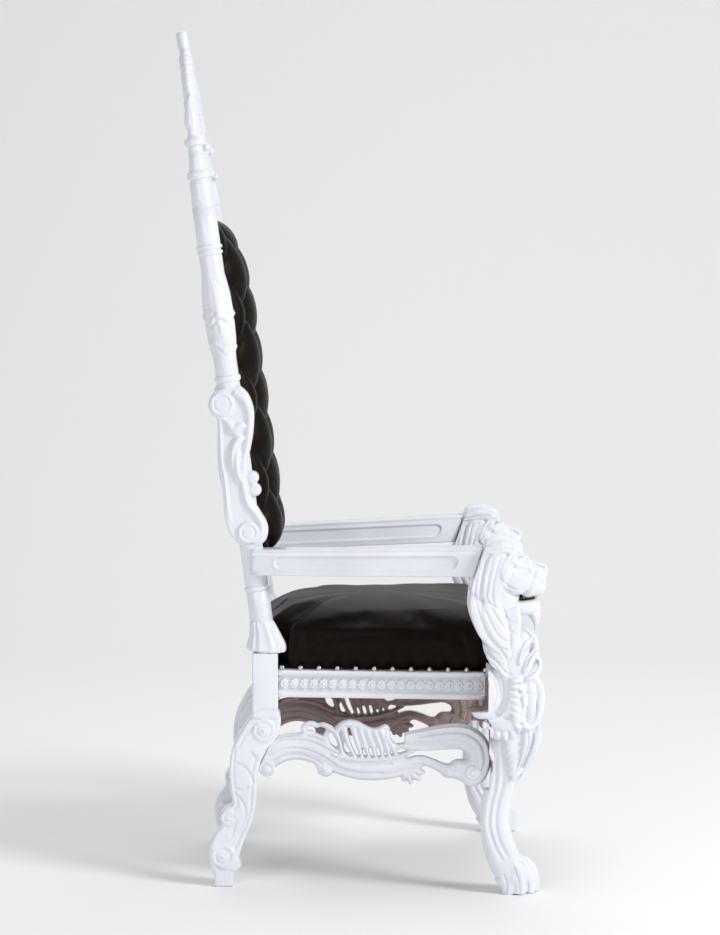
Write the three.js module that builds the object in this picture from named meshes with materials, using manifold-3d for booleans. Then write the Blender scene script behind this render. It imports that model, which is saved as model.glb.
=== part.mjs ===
// A high-back throne of carved, white-lacquered wood: lion-headed front legs and arms, scrolled
// rear legs, pierced stretchers, turned back posts, a tall carved crest, a tufted back and a
// crowned seat. Millimetres, +Z up, the front faces -Y and the sitter's left is +X.
// Outlines are drawn from the side as [forward, up] pairs, forward measured from mid depth.
import * as THREE from 'three';
import { LoftGeometry } from 'three/addons/geometries/LoftGeometry.js';
import { mergeVertices } from 'three/addons/utils/BufferGeometryUtils.js';
import Module from 'manifold-3d';

// Driving dimensions
const GAP = 0.35; // clearance left where two pieces meet
const TOP = 1830; // height of the crest's tip
const LION_X = 350; // lion heads and chests, out from the centre
const PAW_X = 321; // front paws, out from the centre
const POST_X = 233; // rear legs and back posts, out from the centre
const POST_R = 24.5; // radius of the turned columns
const HOUSING_R = 28.6; // radius of the hollows in the rails and crest that clear a post
const BLOCK_HALF = 27; // the rear legs' square block, half its side
const BLOCK_TOP = 504; // where the back posts stand on the rear legs
const LEAN = Math.atan(0.1365); // the back leans back about 7.8 degrees
const POST_FOOT = -195.5; // forward place of a post's axis at its foot
const RAIL_LOW = 409;
const RAIL_HIGH = 467;
const RAIL_REAR = -170; // front faces of the rear legs' blocks
const RAIL_FRONT = 269; // rear faces of the lion legs at the seat
const RAIL_REAR_X = 254; // outer face of the side rail at the block
const RAIL_FRONT_X = 304; // outer face of the side rail at the lion leg
const INNER_X = 296; // inner faces of the lion legs, where the front rail ends
const STRETCHER_FRONT = 279; // rear faces of the lion legs at the stretcher
const SEAT_CROWN = 613; // top of the seat cushion at its middle
const BACK_LOW = 700; // lower edge of the back cushion
const BACK_HIGH = 1422; // upper edge of the back cushion
const BACK_HALF = 202; // half the width of the back cushion
const BACK_FULLNESS = 76; // how far the back cushion stands out in front of the posts' line
const TUFT_PITCH = 179; // buttons of one row stand this far below the last like row
const BEADS = 21; // rosettes along a side rail

const wasm = await Module();
wasm.setup();

const at = (x, forward, up) => new THREE.Vector3(x, -forward, up);

// A geometry with the doubled points of its seams and poles merged.
function welded(geometry) {
  const bare = new THREE.BufferGeometry().copy(geometry);
  bare.deleteAttribute('normal');
  bare.deleteAttribute('uv');
  return mergeVertices(bare, 1e-3);
}

// A closed three.js geometry as a solid that can be joined and cut.
function solid(geometry) {
  const merged = welded(geometry);
  const faces = [];
  const index = merged.index.array;
  for (let i = 0; i < index.length; i += 3) {
    const [a, b, c] = index.slice(i, i + 3);
    if (a !== b && b !== c && c !== a) faces.push(a, b, c);
  }
  const vertProperties = merged.attributes.position.array;
  const triVerts = new Uint32Array(faces);
  return new wasm.Manifold(new wasm.Mesh({ numProp: 3, vertProperties, triVerts }));
}

// One solid from several that overlap.
function joined(...geometries) {
  return geometries.map(solid).reduce((whole, piece) => whole.add(piece));
}

// A solid's surface as a three.js geometry.
function surface(shape) {
  const { vertProperties, triVerts } = shape.getMesh();
  const geometry = new THREE.BufferGeometry();
  geometry.setAttribute('position', new THREE.BufferAttribute(vertProperties, 3));
  geometry.setIndex(new THREE.BufferAttribute(triVerts, 1));
  geometry.computeVertexNormals();
  return geometry;
}

// Points of a smooth line through the given [forward, up] pairs.
function smooth(points, perSpan = 2) {
  const curve = new THREE.SplineCurve(points.map(([u, v]) => new THREE.Vector2(u, v)));
  return curve.getPoints((points.length - 1) * perSpan);
}

// An oval of [forward, up] points, turned by an angle.
function oval(forward, up, halfLong, halfWide, turn = 0, sides = 8) {
  const curve = new THREE.EllipseCurve(forward, up, halfLong, halfWide, 0, 2 * Math.PI, false, turn);
  return curve.getPoints(sides).slice(0, sides);
}

// A board cut to a side outline, between two places across, with a chamfer.
function board(outline, low, high, chamfer = 0, holes = []) {
  const shape = new THREE.Shape(outline);
  shape.holes = holes.map((hole) => new THREE.Path(hole));
  const geometry = new THREE.ExtrudeGeometry(shape, {
    depth: high - low - 2 * chamfer,
    bevelEnabled: chamfer > 0,
    bevelThickness: chamfer,
    bevelSize: chamfer,
    bevelOffset: -chamfer,
    bevelSegments: 1,
  });
  geometry.applyMatrix4(new THREE.Matrix4().makeBasis(at(0, 1, 0), at(0, 0, 1), at(-1, 0, 0)));
  return geometry.translate(high - chamfer, 0, 0);
}

// A limb through stations [forward, up, x, half depth, half width], its sections square to
// its path and shaped as superellipses: a power of 2 is round, and more is squarer.
function limb(stations, sides = 12, perSpan = 2, power = 2) {
  const path = new THREE.CatmullRomCurve3(stations.map(([f, z, x]) => at(x, f, z)));
  const girth = new THREE.CatmullRomCurve3(stations.map(([, , , a, b]) => new THREE.Vector3(a, b, 0)));
  const steps = (stations.length - 1) * perSpan;
  const sections = [];
  for (let i = 0; i <= steps; i++) {
    const centre = path.getPoint(i / steps);
    const size = girth.getPoint(i / steps);
    const along = path.getTangent(i / steps);
    const across = new THREE.Vector3(1, 0, 0).addScaledVector(along, -along.x).normalize();
    const fore = new THREE.Vector3().crossVectors(across, along);
    const ring = [];
    for (let j = 0; j < sides; j++) {
      const angle = (2 * Math.PI * (j + 0.5)) / sides;
      const u = Math.sign(Math.cos(angle)) * Math.abs(Math.cos(angle)) ** (2 / power);
      const v = Math.sign(Math.sin(angle)) * Math.abs(Math.sin(angle)) ** (2 / power);
      const point = centre.clone().addScaledVector(fore, u * Math.max(size.x, 0.5));
      ring.push(point.addScaledVector(across, v * Math.max(size.y, 0.5)));
    }
    sections.push(ring);
  }
  return new LoftGeometry(sections, { capStart: true, capEnd: true });
}

// A rounded lump: an ellipsoid with its half sizes and its turn seen from the side.
function lump(forward, up, x, halfForward, halfUp, halfAcross, turn = 0, sides = 8) {
  const geometry = welded(new THREE.SphereGeometry(1, sides, Math.round(sides * 0.75)));
  geometry.rotateX(Math.PI / 2);
  geometry.scale(halfAcross, halfForward, halfUp);
  geometry.rotateX(-turn);
  return geometry.translate(x, -forward, up);
}

// A box between two corners given as [x, forward, up].
function box([xa, fa, za], [xb, fb, zb]) {
  const geometry = new THREE.BoxGeometry(Math.abs(xb - xa), Math.abs(fb - fa), Math.abs(zb - za));
  return geometry.translate((xa + xb) / 2, -(fa + fb) / 2, (za + zb) / 2);
}

// A geometry turned and moved from upright at the origin onto the leaning line of the back.
// Heights along it are given as levels above the floor, so they shrink by the lean.
function leaning(geometry, x = 0) {
  geometry.translate(0, 0, -BLOCK_TOP);
  geometry.scale(1, 1, 1 / Math.cos(LEAN));
  geometry.rotateX(-LEAN);
  return geometry.translate(x, -POST_FOOT, BLOCK_TOP);
}

// A turned part about the leaning axis from [level, radius] pairs.
function turned(profile, x, sides = 8) {
  const points = profile.map(([level, radius]) => new THREE.Vector2(radius, level));
  points.unshift(new THREE.Vector2(0, profile[0][0]));
  points.push(new THREE.Vector2(0, profile[profile.length - 1][0]));
  return leaning(welded(new THREE.LatheGeometry(points, sides)).rotateX(Math.PI / 2), x);
}

const lacquer = new THREE.MeshStandardMaterial({ color: 0xe9ebf0, roughness: 0.28, metalness: 0 });
const leather = new THREE.MeshStandardMaterial({ color: 0x1b1a1c, roughness: 0.45, metalness: 0 });

// Lion leg: head, chest, carved knee, cabriole leg and paw, carved from one block.
function lionLeg() {
  const leg = limb([
    [298, 625, LION_X, 46, 44],
    [298, 575, LION_X, 51, 47],
    [319, 520, LION_X, 58, 48],
    [328, 450, 347, 60, 47],
    [327, 375, 342, 57, 43],
    [321, 305, 336, 43, 35],
    [305, 240, 331, 35, 26],
    [288, 180, 326, 32, 21],
    [291, 130, 323, 31, 21],
    [310, 80, PAW_X, 36, 25],
    [328, 32, PAW_X, 38, 30],
    [334, -12, PAW_X, 33, 31],
  ], 8, 1);
  const head = limb([
    [232, 693, LION_X, 34, 32],
    [256, 694, LION_X, 52, 47],
    [290, 696, LION_X, 61, 55],
    [320, 692, LION_X, 58, 51],
    [343, 676, LION_X, 42, 40],
    [364, 667, LION_X, 35, 30],
    [384, 664, LION_X, 30, 25],
    [394, 662, LION_X, 17, 15],
  ], 8, 1);
  const jaw = limb([
    [300, 618, LION_X, 22, 34],
    [345, 603, LION_X, 17, 27],
    [374, 600, LION_X, 15, 20],
    [380, 582, LION_X, 10, 13],
    [373, 560, LION_X, 2, 3],
  ], 6, 1);
  const bib = board(
    smooth([[262, 640], [246, 590], [262, 548], [307, 495], [331, 528], [340, 568], [338, 630]], 1),
    LION_X - 51, LION_X + 51,
  );
  const pieces = [head, jaw, bib];
  for (const face of [-1, 1]) {
    // locks of the mane, swept back from the face
    for (let i = 0; i < 2; i++) {
      const rise = 738 - 70 * i;
      pieces.push(limb([
        [336 - 8 * i, rise - 6, LION_X + face * (22 + 14 * i), 9, 9],
        [304, rise - 4, LION_X + face * (36 + 10 * i), 22, 15],
        [244, rise - 34, LION_X + face * (38 + 6 * i), 9, 8],
      ], 4, 1));
    }
    pieces.push(lump(362, 648, LION_X + face * 22, 24, 17, 14, 0, 4)); // lip and cheek
    // scroll on the rear of the knee, and the acanthus leaf that falls to a tip
    pieces.push(lump(289, 437, 346 + face * 34, 19, 54, 18, 0.05, 5));
    pieces.push(lump(347, 432, 344 + face * 33, 27, 60, 17, 0.15, 5));
  }
  pieces.push(limb([[345, 330, 340, 28, 26], [338, 280, 336, 18, 18], [328, 234, 331, 3, 4]], 5, 1));
  for (let i = 0; i < 4; i++) {
    const x = PAW_X + 15.5 * (i - 1.5);
    const reach = i === 0 || i === 3 ? 350 : 356;
    pieces.push(lump(reach, 24, x, 27, 29, 9, -0.2, 4));
  }
  // Flat places where the front rail, side rail, stretcher and arm meet it, and the sole
  const cuts = [
    box([200, 150, -60], [450, 450, 0]),
    box([200, 200, 390], [INNER_X, 450, 520]),
    box([200, 180, RAIL_LOW - 12], [450, RAIL_FRONT, RAIL_HIGH + 30]),
    box([200, 180, 225], [450, STRETCHER_FRONT, 362]),
  ];
  const seam = box([200, 150, 655], [450, 237, 780]);
  seam.translate(0, 237, -672).rotateX(Math.atan(1 / 3)).translate(0, -237, 672);
  let whole = joined(leg, ...pieces);
  for (const cut of [...cuts, seam]) whole = whole.subtract(solid(cut));
  return surface(whole);
}

// Arm: a squared bar with a sunk panel on each face, from the post to the lion's mane.
function armBar() {
  const rear = -228;
  const front = 248;
  const ring = (forward, x, up, halfWide, halfHigh, slant) =>
    [[-1, -1], [1, -1], [1, 0.55], [0.55, 1], [-0.55, 1], [-1, 0.55]].map(([u, v]) =>
      at(x + u * halfWide, forward + slant * v * halfHigh, up + v * halfHigh));
  const bar = solid(new LoftGeometry([
    ring(rear, 240, 698, 24, 27, 0),
    ring(-40, 284, 703, 25, 28, 0),
    ring(150, 326, 708, 27, 30, 0),
    ring(front, LION_X - 4, 707, 31, 31, 1 / 3),
  ], { capStart: true, capEnd: true }));
  const slope = (LION_X - 4 - 240) / (front - rear);
  const panel = (face) => {
    const inset = smooth([[-170, 690], [-178, 702], [-170, 715], [20, 719], [195, 722]], 1);
    const shape = [...inset, ...smooth([[203, 708], [195, 695], [20, 692]], 1)];
    const groove = board(shape, -8, 8);
    groove.applyMatrix4(new THREE.Matrix4().set(1, -slope, 0, 0, 0, 1, 0, 0, 0, 0, 1, 0, 0, 0, 0, 1));
    return solid(groove.translate(240 - slope * rear + face * 30, 0, 0));
  };
  const housing = solid(turned([[640, POST_R + 0.6], [780, POST_R + 0.6]], POST_X));
  return surface(bar.subtract(housing).subtract(panel(1)).subtract(panel(-1)));
}

// Rear leg: a square block over a scrolled leg with two volutes and a foot pad.
function rearLeg() {
  const front = [
    ...smooth([[-164, 374], [-163, 350], [-169, 328], [-185, 312]], 1),
    ...smooth([[-211, 258], [-216, 215], [-217, 176], [-225, 140], [-240, 106], [-252, 68]], 1),
  ];
  const back = smooth([
    [-266, 30], [-306, 30], [-318, 57], [-316, 89], [-300, 117], [-290, 132], [-293, 153],
    [-272, 178], [-274, 215], [-275, 255], [-268, 296], [-249, 334], [-226, 368],
  ], 1);
  const scrolls = [
    [-200, 338, 25, 26], [-276, 150, 17, 25], [-287, 66, 27, 25], [-262, 48, 15, 23],
  ];
  const volutes = scrolls.map(([f, z, radius, half]) =>
    board(oval(f, z, radius, radius, 0, 10), POST_X - half, POST_X + half));
  const whole = joined(
    box([POST_X - BLOCK_HALF, -225, 362], [POST_X + BLOCK_HALF, RAIL_REAR, BLOCK_TOP]),
    board([...front, ...back], POST_X - 22, POST_X + 22),
    box([POST_X - 23, -308, 0], [POST_X + 23, -266, 40]),
    ...volutes,
  );
  return surface(whole);
}

// Levels and radii of a post, from the cuff to the finial's tip
const POST_PROFILE = [
  [530, POST_R], [634, POST_R], [641, 28], [648, POST_R], [1080, POST_R], [1088, 28],
  [1096, POST_R], [1134, POST_R], [1190, 29], [1265, 29], [1310, POST_R], [1348, POST_R],
  [1358, 28], [1368, POST_R], [1460, POST_R], [1508, 20], [1518, 24], [1530, 20],
  [1540, 15], [1574, 15], [1583, 21.5], [1594, 13], [1612, 10], [1629, 15.5], [1650, 9], [1676, 2],
];

// Back post: leaf cuff, turned column with the scroll panel over the arm, collar and finial.
function backPost() {
  const cuff = limb([
    [POST_FOOT, BLOCK_TOP + GAP, POST_X, 40, 30],
    [POST_FOOT, 514, POST_X, 42, 31],
    [POST_FOOT - 4, 540, POST_X, 32, 28],
    [POST_FOOT - 9, 566, POST_X, 26, 25],
  ], 8, 1, 2.6);
  const panel = board(smooth([
    [-249, 1068], [-229, 1048], [-219, 1007], [-223, 943], [-233, 890], [-212, 884], [-206, 868],
    [-216, 857], [-203, 850], [-203, 834], [-221, 822], [-204, 798], [-190, 765], [-197, 742],
    [-220, 731], [-250, 731], [-270, 750], [-284, 815], [-296, 915],
    [-300, 990], [-316, 1012], [-316, 1044], [-290, 1060],
  ], 1), POST_X - 17, POST_X + 29);
  const discs = [[-288, 1032, 26, 32], [-232, 761, 22, 32]];
  const volutes = discs.map(([f, z, radius, half]) =>
    board(oval(f, z, radius, radius), POST_X + 4 - half, POST_X + 2 + half));
  const leaf = lump(-248, 940, POST_X + 27, 17, 62, 9, -0.2, 4);
  return surface(joined(turned(POST_PROFILE, POST_X), cuff, panel, ...volutes, leaf));
}

// Side stretcher: pierced scrollwork from the rear leg to the lion leg, splayed outwards.
function sideStretcher() {
  const outline = [
    ...smooth([
      [-184.5, 311.5], [-163, 324], [-134, 331], [-112, 335], [-96, 348], [-74, 352], [-47, 345],
      [-21, 357], [12, 345], [29, 340], [61, 350], [85, 342], [104, 333], [131, 332], [159, 342],
      [185, 350], [213, 350], [239, 346], [260, 332], [272, 312],
    ], 1),
    ...smooth([[STRETCHER_FRONT - GAP, 295], [STRETCHER_FRONT - GAP, 262]], 1),
    ...smooth([
      [273, 246], [260, 233], [237, 228], [219, 235], [207, 246], [192, 243], [178, 255],
      [162, 257], [148, 256], [128, 245], [112, 225], [95, 231], [72, 239], [38, 231], [12, 231],
      [-30, 242], [-51, 250], [-66, 238], [-83, 242], [-90, 262], [-117, 271], [-151, 269],
      [-170, 260], [-175, 238], [-190, 227], [-206, 234], [-210, 257],
    ], 1),
  ];
  const holes = [
    smooth([[112, 264], [135, 281], [165, 285], [197, 281], [199, 293], [159, 293], [131, 286]], 1),
    oval(225, 287, 12, 12),
    oval(-18, 322, 17, 7, 1.4, 6), oval(28, 292, 24, 7, 0.3, 6), oval(-70, 326, 22, 7, 0.5, 6),
  ];
  const relief = [
    limb([
      [-196, 262, 0, 20, 20], [-150, 293, 0, 22, 18], [-95, 292, 0, 17, 17], [-40, 262, 0, 13, 17],
      [25, 252, 0, 18, 18], [90, 272, 0, 17, 17], [120, 300, 0, 15, 17], [185, 322, 0, 24, 18],
      [244, 305, 0, 22, 18], [254, 262, 0, 20, 20],
    ], 5, 1),
    board(oval(-190, 247, 18, 18), -20, 20),
    board(oval(238, 250, 23, 22), -21, 21),
  ];
  const plate = board(outline, -13, 13);
  const through = holes.map((hole) => solid(board(hole, -40, 40)));
  const ends = [
    box([-40, 268, 200], [40, 340, 380]).translate(0, -(STRETCHER_FRONT - GAP - 268), 0),
    board(smooth([
      [-230, 331], [-178, 331], [-184.4, 312], [-210.4, 258], [-215.4, 215], [-215.4, 190],
      [-260, 190],
    ], 1), -40, 40),
  ];
  let whole = joined(plate, ...relief);
  for (const cut of through) whole = whole.subtract(cut);
  for (const end of ends) whole = whole.subtract(solid(end));
  const slope = (PAW_X - 2 - POST_X) / (STRETCHER_FRONT + 200);
  const splay = new THREE.Matrix4().set(
    1, -slope, 0, POST_X + 200 * slope, 0, 1, 0, 0, 0, 0, 1, 0, 0, 0, 0, 1,
  );
  return surface(whole).applyMatrix4(splay);
}

// Side rail: a moulded bar with a row of carved rosettes between two fillets.
function sideRail() {
  const profile = [
    [-34, RAIL_LOW], [0, RAIL_LOW], [0, RAIL_LOW + 9], [-5, RAIL_LOW + 13], [-5, RAIL_HIGH - 16],
    [0, RAIL_HIGH - 12], [2, RAIL_HIGH], [-34, RAIL_HIGH],
  ];
  const section = (forward, x) => profile.map(([u, v]) => at(x + u, forward, v));
  const bar = new LoftGeometry([
    section(RAIL_REAR + GAP, RAIL_REAR_X), section(RAIL_FRONT - GAP, RAIL_FRONT_X),
  ], { capStart: true, capEnd: true });
  const beads = [];
  const margin = 4;
  const pitch = (RAIL_FRONT - RAIL_REAR - 2 * margin) / BEADS;
  for (let i = 0; i < BEADS; i++) {
    const forward = RAIL_REAR + margin + (i + 0.5) * pitch;
    const share = (forward - RAIL_REAR) / (RAIL_FRONT - RAIL_REAR);
    const x = RAIL_REAR_X + (RAIL_FRONT_X - RAIL_REAR_X) * share;
    const bead = welded(new THREE.ConeGeometry(12, 8, 4)).rotateZ(-Math.PI / 2);
    beads.push(bead.translate(x - 3.5, -forward, (RAIL_LOW + RAIL_HIGH - 3) / 2));
  }
  return surface(joined(bar, ...beads));
}

// Front rail: a straight rail between the lion legs, with a carved apron below it.
function frontRail() {
  const half = INNER_X - GAP;
  const apron = new THREE.Shape([
    ...smooth([
      [-half, 410], [-half + 2, 372], [-230, 380], [-160, 372], [-95, 345], [-45, 338], [0, 318],
      [45, 338], [95, 345], [160, 372], [230, 380], [half - 2, 372], [half, 410],
    ], 1),
  ]);
  const lower = new THREE.ExtrudeGeometry(apron, { depth: 24, bevelEnabled: false });
  lower.rotateX(Math.PI / 2).translate(0, -298, 0);
  const bar = box([-half, 296, RAIL_LOW - 6], [half, 334, RAIL_HIGH]);
  const shells = [];
  for (let i = -2; i <= 2; i++) {
    shells.push(lump(324, 372 - 5 * Math.abs(i), 21 * i, 10, 33 - 4 * Math.abs(i), 12, 0, 4));
  }
  for (const side of [-1, 1]) {
    shells.push(lump(323, 384, side * 105, 9, 17, 36, 0, 4));
    shells.push(lump(323, 392, side * 190, 9, 13, 42, 0, 4));
  }
  return surface(joined(bar, lower, ...shells));
}

// Rear rail: a plain bar between the rear legs' blocks.
function rearRail() {
  const half = POST_X - BLOCK_HALF - GAP;
  return surface(solid(box([-half, -216, RAIL_LOW], [half, -184, RAIL_HIGH])));
}

// Crest: a tall pierced board of scrolls and leaves round a palmette, leaning with the back.
function crest() {
  const right = smooth([
    [16, TOP - 12], [30, TOP - 48], [58, TOP - 62], [66, TOP - 100], [102, TOP - 118], [118, TOP - 158],
    [150, TOP - 172], [172, TOP - 205], [168, TOP - 250], [196, TOP - 268], [206, TOP - 310],
    [214, TOP - 348], [214, BACK_HIGH + 4],
  ], 1);
  const left = right.map((p) => new THREE.Vector2(-p.x, p.y)).reverse();
  const foot = smooth([[150, BACK_HIGH + 4], [0, BACK_HIGH + 5], [-150, BACK_HIGH + 4]], 1);
  const tip = new THREE.Vector2(0, TOP);
  const shape = new THREE.Shape([tip, ...right, ...foot, ...left].reverse());
  for (const side of [-1, 1]) {
    shape.holes.push(
      new THREE.Path(oval(side * 92, TOP - 205, 30, 15, side * -0.9)),
      new THREE.Path(oval(side * 130, TOP - 285, 26, 14, side * -0.5)),
    );
  }
  const plate = new THREE.ExtrudeGeometry(shape, { depth: 22, bevelEnabled: false });
  plate.rotateX(Math.PI / 2).translate(0, 11, 0);
  const relief = [];
  for (let i = -1; i <= 1; i++) {
    const turn = 0.55 * i;
    const petal = welded(new THREE.SphereGeometry(1, 6, 4)).rotateX(Math.PI / 2).scale(20, 15, 62);
    petal.translate(0, 0, 50).rotateY(turn).translate(0, -3, TOP - 232);
    relief.push(petal);
  }
  for (const side of [-1, 1]) {
    const scroll = (x, z, r) =>
      welded(new THREE.CylinderGeometry(r, r, 30, 6)).translate(side * x, 0, z);
    relief.push(scroll(148, TOP - 208, 18), scroll(188, TOP - 300, 17));
  }
  relief.push(welded(new THREE.BoxGeometry(424, 28, 34)).translate(0, 0, BACK_HIGH + 26));
  let whole = joined(...[plate, ...relief].map((geometry) => leaning(geometry)));
  for (const side of [-1, 1]) {
    whole = whole.subtract(solid(turned([[1400, HOUSING_R], [1640, HOUSING_R]], side * POST_X)));
  }
  return surface(whole);
}

// Lower rail of the back, between the posts, on which the upholstered back stands.
function lowerRail() {
  const bar = new THREE.BoxGeometry(430, 30, 54).translate(0, 0, 668);
  let whole = solid(leaning(bar));
  for (const side of [-1, 1]) {
    whole = whole.subtract(solid(turned([[600, HOUSING_R], [740, HOUSING_R]], side * POST_X)));
  }
  return surface(whole);
}

// How deep the tufted back stands at a place: full between the buttons, drawn in at each
// button and along the creases that join them into diamonds.
function tuft(x, level) {
  const rows = (level - BACK_LOW) / TUFT_PITCH;
  const columns = x / 132;
  const one = Math.abs(Math.sin(Math.PI * (rows + columns)));
  const other = Math.abs(Math.sin(Math.PI * (rows - columns)));
  return Math.min(1, 0.25 + 0.95 * Math.min(one, other) ** 0.7);
}

// Back cushion: level sections from bottom to top, flat behind and tufted in front.
function backCushion() {
  const levels = 16;
  const columns = 12;
  const sections = [];
  for (let i = 0; i <= levels; i++) {
    const level = BACK_LOW + ((BACK_HIGH - BACK_LOW) * i) / levels;
    const t = i / levels;
    const rim = Math.sqrt(1 - (2 * Math.abs(t - 0.5)) ** 6);
    const fullness = BACK_FULLNESS * rim;
    const half = BACK_HALF - 3;
    const ring = [];
    for (let j = 0; j <= columns; j++) {
      const s = (2 * j) / columns - 1;
      const x = s * half;
      const round = Math.sqrt(Math.max(0, 1 - Math.abs(s) ** 6));
      ring.push(new THREE.Vector3(x, -fullness * round * tuft(x, level), level));
    }
    ring.push(new THREE.Vector3(half, 18, level), new THREE.Vector3(-half, 18, level));
    sections.push(ring);
  }
  return surface(solid(leaning(new LoftGeometry(sections, { capStart: true, capEnd: true }))));
}

// Seat cushion: level rings that follow the seat's plan, notched round the back posts and
// crowned over the middle.
function seatCushion() {
  const plan = [
    [0, -212], [110, -212], [186, -210], [187, -152], [240, -148], [249, -100], [258, 0], [267, 100],
    [276, 190], [286, 290], [280, 326], [150, 336], [0, 338],
  ];
  const levels = [
    [RAIL_HIGH + 1.3, 0.965, 0.965], [474, 1, 1], [545, 0.985, 0.985], [574, 0.94, 0.95],
    [592, 0.85, 0.87], [605, 0.63, 0.67], [SEAT_CROWN, 0.28, 0.32],
  ];
  const middle = 63;
  const ringAt = ([level, wide, deep]) => {
    const corner = ([x, f]) => at(x * wide, middle + (f - middle) * deep, level);
    const mirror = plan.slice(1, -1).reverse().map(([x, f]) => corner([-x, f]));
    return [...plan.map(corner), ...mirror].reverse();
  };
  return surface(solid(new LoftGeometry(levels.map(ringAt), { capStart: true, capEnd: true })));
}

const throne = new THREE.Group();
const pieces = new THREE.Group();
const leftSide = new THREE.Group();
const rightSide = new THREE.Group();
rightSide.scale.x = -1; // the sitter's right side is the mirror of the left
pieces.add(leftSide, rightSide);
throne.add(pieces);

const paired = {
  lion_leg: lionLeg(),
  arm: armBar(),
  rear_leg: rearLeg(),
  back_post: backPost(),
  side_stretcher: sideStretcher(),
  side_rail: sideRail(),
};
for (const [name, geometry] of Object.entries(paired)) {
  for (const [word, side] of [['left', leftSide], ['right', rightSide]]) {
    const mesh = new THREE.Mesh(geometry, lacquer);
    mesh.name = `${name}_${word}`;
    side.add(mesh);
  }
}

const single = {
  front_rail: [frontRail(), lacquer],
  rear_rail: [rearRail(), lacquer],
  back_crest: [crest(), lacquer],
  back_lower_rail: [lowerRail(), lacquer],
  back_cushion: [backCushion(), leather],
  seat_cushion: [seatCushion(), leather],
};
for (const [name, [geometry, material]] of Object.entries(single)) {
  const mesh = new THREE.Mesh(geometry, material);
  mesh.name = name;
  pieces.add(mesh);
}

// The origin is on the floor, under the middle of the throne's depth.
const extent = new THREE.Box3().setFromObject(pieces);
pieces.position.y = -(extent.min.y + extent.max.y) / 2;

export default throne;
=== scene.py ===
# The throne's looks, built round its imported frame: carved wood under gloss white lacquer,
# black coated leather on the seat and the tufted back, nickel nail heads.
import math

import bmesh
import bpy
import numpy as np
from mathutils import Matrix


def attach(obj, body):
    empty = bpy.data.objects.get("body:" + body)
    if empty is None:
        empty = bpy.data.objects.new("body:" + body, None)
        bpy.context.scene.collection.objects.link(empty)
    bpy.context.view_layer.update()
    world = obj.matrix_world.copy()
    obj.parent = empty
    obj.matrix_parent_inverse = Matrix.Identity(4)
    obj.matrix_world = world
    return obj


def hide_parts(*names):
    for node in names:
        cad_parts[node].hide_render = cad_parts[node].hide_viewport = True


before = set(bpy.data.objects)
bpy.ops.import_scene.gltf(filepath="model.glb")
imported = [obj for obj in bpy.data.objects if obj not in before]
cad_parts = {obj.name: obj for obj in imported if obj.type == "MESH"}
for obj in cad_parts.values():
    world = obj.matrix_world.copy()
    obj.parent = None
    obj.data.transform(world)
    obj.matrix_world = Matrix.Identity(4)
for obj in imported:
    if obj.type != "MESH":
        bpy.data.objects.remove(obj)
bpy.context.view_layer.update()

# ---------------------------------------------------------------- Camera
# The throne is seen from the sitter's right, at standing eye height and from a good 6 m.
EYE = (-6.431, 0.147, 1.405)
PITCH_DOWN = math.radians(4.68)
YAW_TO_FRONT = math.radians(1.36)
LENS, SENSOR_WIDTH = 112.8, 36.0  # millimetres

camera_data = bpy.data.cameras.new("camera")
camera_data.lens = LENS
camera_data.sensor_width = SENSOR_WIDTH
camera = bpy.data.objects.new("camera", camera_data)
camera.location = EYE
camera.rotation_euler = (math.pi / 2 - PITCH_DOWN, 0.0, -math.pi / 2 - YAW_TO_FRONT)
bpy.context.scene.collection.objects.link(camera)
bpy.context.scene.camera = camera

# ---------------------------------------------------------------- Studio
# A white paper sweep: the floor runs level under the throne and curves up behind it.


def link_mesh(name, points, faces):
    """A smooth mesh object at the origin from an (n, 3) array of points and a list of faces."""
    mesh = bpy.data.meshes.new(name)
    mesh.from_pydata(points.tolist(), [], faces)
    mesh.update()
    mesh.shade_smooth()
    piece = bpy.data.objects.new(name, mesh)
    bpy.context.scene.collection.objects.link(piece)
    return piece


def grid_faces(rows, columns, closed=False):
    """Quads of a rows x columns grid of points, each row wrapped round where `closed`."""
    i, j = np.meshgrid(np.arange(rows - 1), np.arange(columns if closed else columns - 1), indexing="ij")
    i2, j2 = i + 1, (j + 1) % columns
    quads = [i * columns + j, i * columns + j2, i2 * columns + j2, i2 * columns + j]
    return np.stack(quads, -1).reshape(-1, 4)


def linear(hex_colour):
    """An sRGB hex colour as linear red, green, blue and alpha."""
    value = np.array([int(hex_colour[i:i + 2], 16) for i in (1, 3, 5)]) / 255.0
    low, high = value / 12.92, ((value + 0.055) / 1.055) ** 2.4
    return (*np.where(value <= 0.04045, low, high).tolist(), 1.0)


def add_node(tree, kind, inputs=None, settings=None):
    """One shader node with its settings, its inputs' values, and its links given as sockets."""
    node = tree.nodes.new(kind)
    for name, value in (settings or {}).items():
        setattr(node, name, value)
    for name, value in (inputs or {}).items():
        if isinstance(value, bpy.types.NodeSocket):
            tree.links.new(value, node.inputs[name])
        else:
            node.inputs[name].default_value = value
    return node


def new_material(name):
    """An empty node material and its tree."""
    material = bpy.data.materials.new(name)
    material.use_nodes = True
    material.node_tree.nodes.clear()
    return material, material.node_tree


# Matt white background paper.
paper, tree = new_material("white_background_paper")
shade = add_node(tree, "ShaderNodeBsdfDiffuse", {"Color": linear("#FAFAFA")})
add_node(tree, "ShaderNodeOutputMaterial", {"Surface": shade.outputs["BSDF"]})

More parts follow.
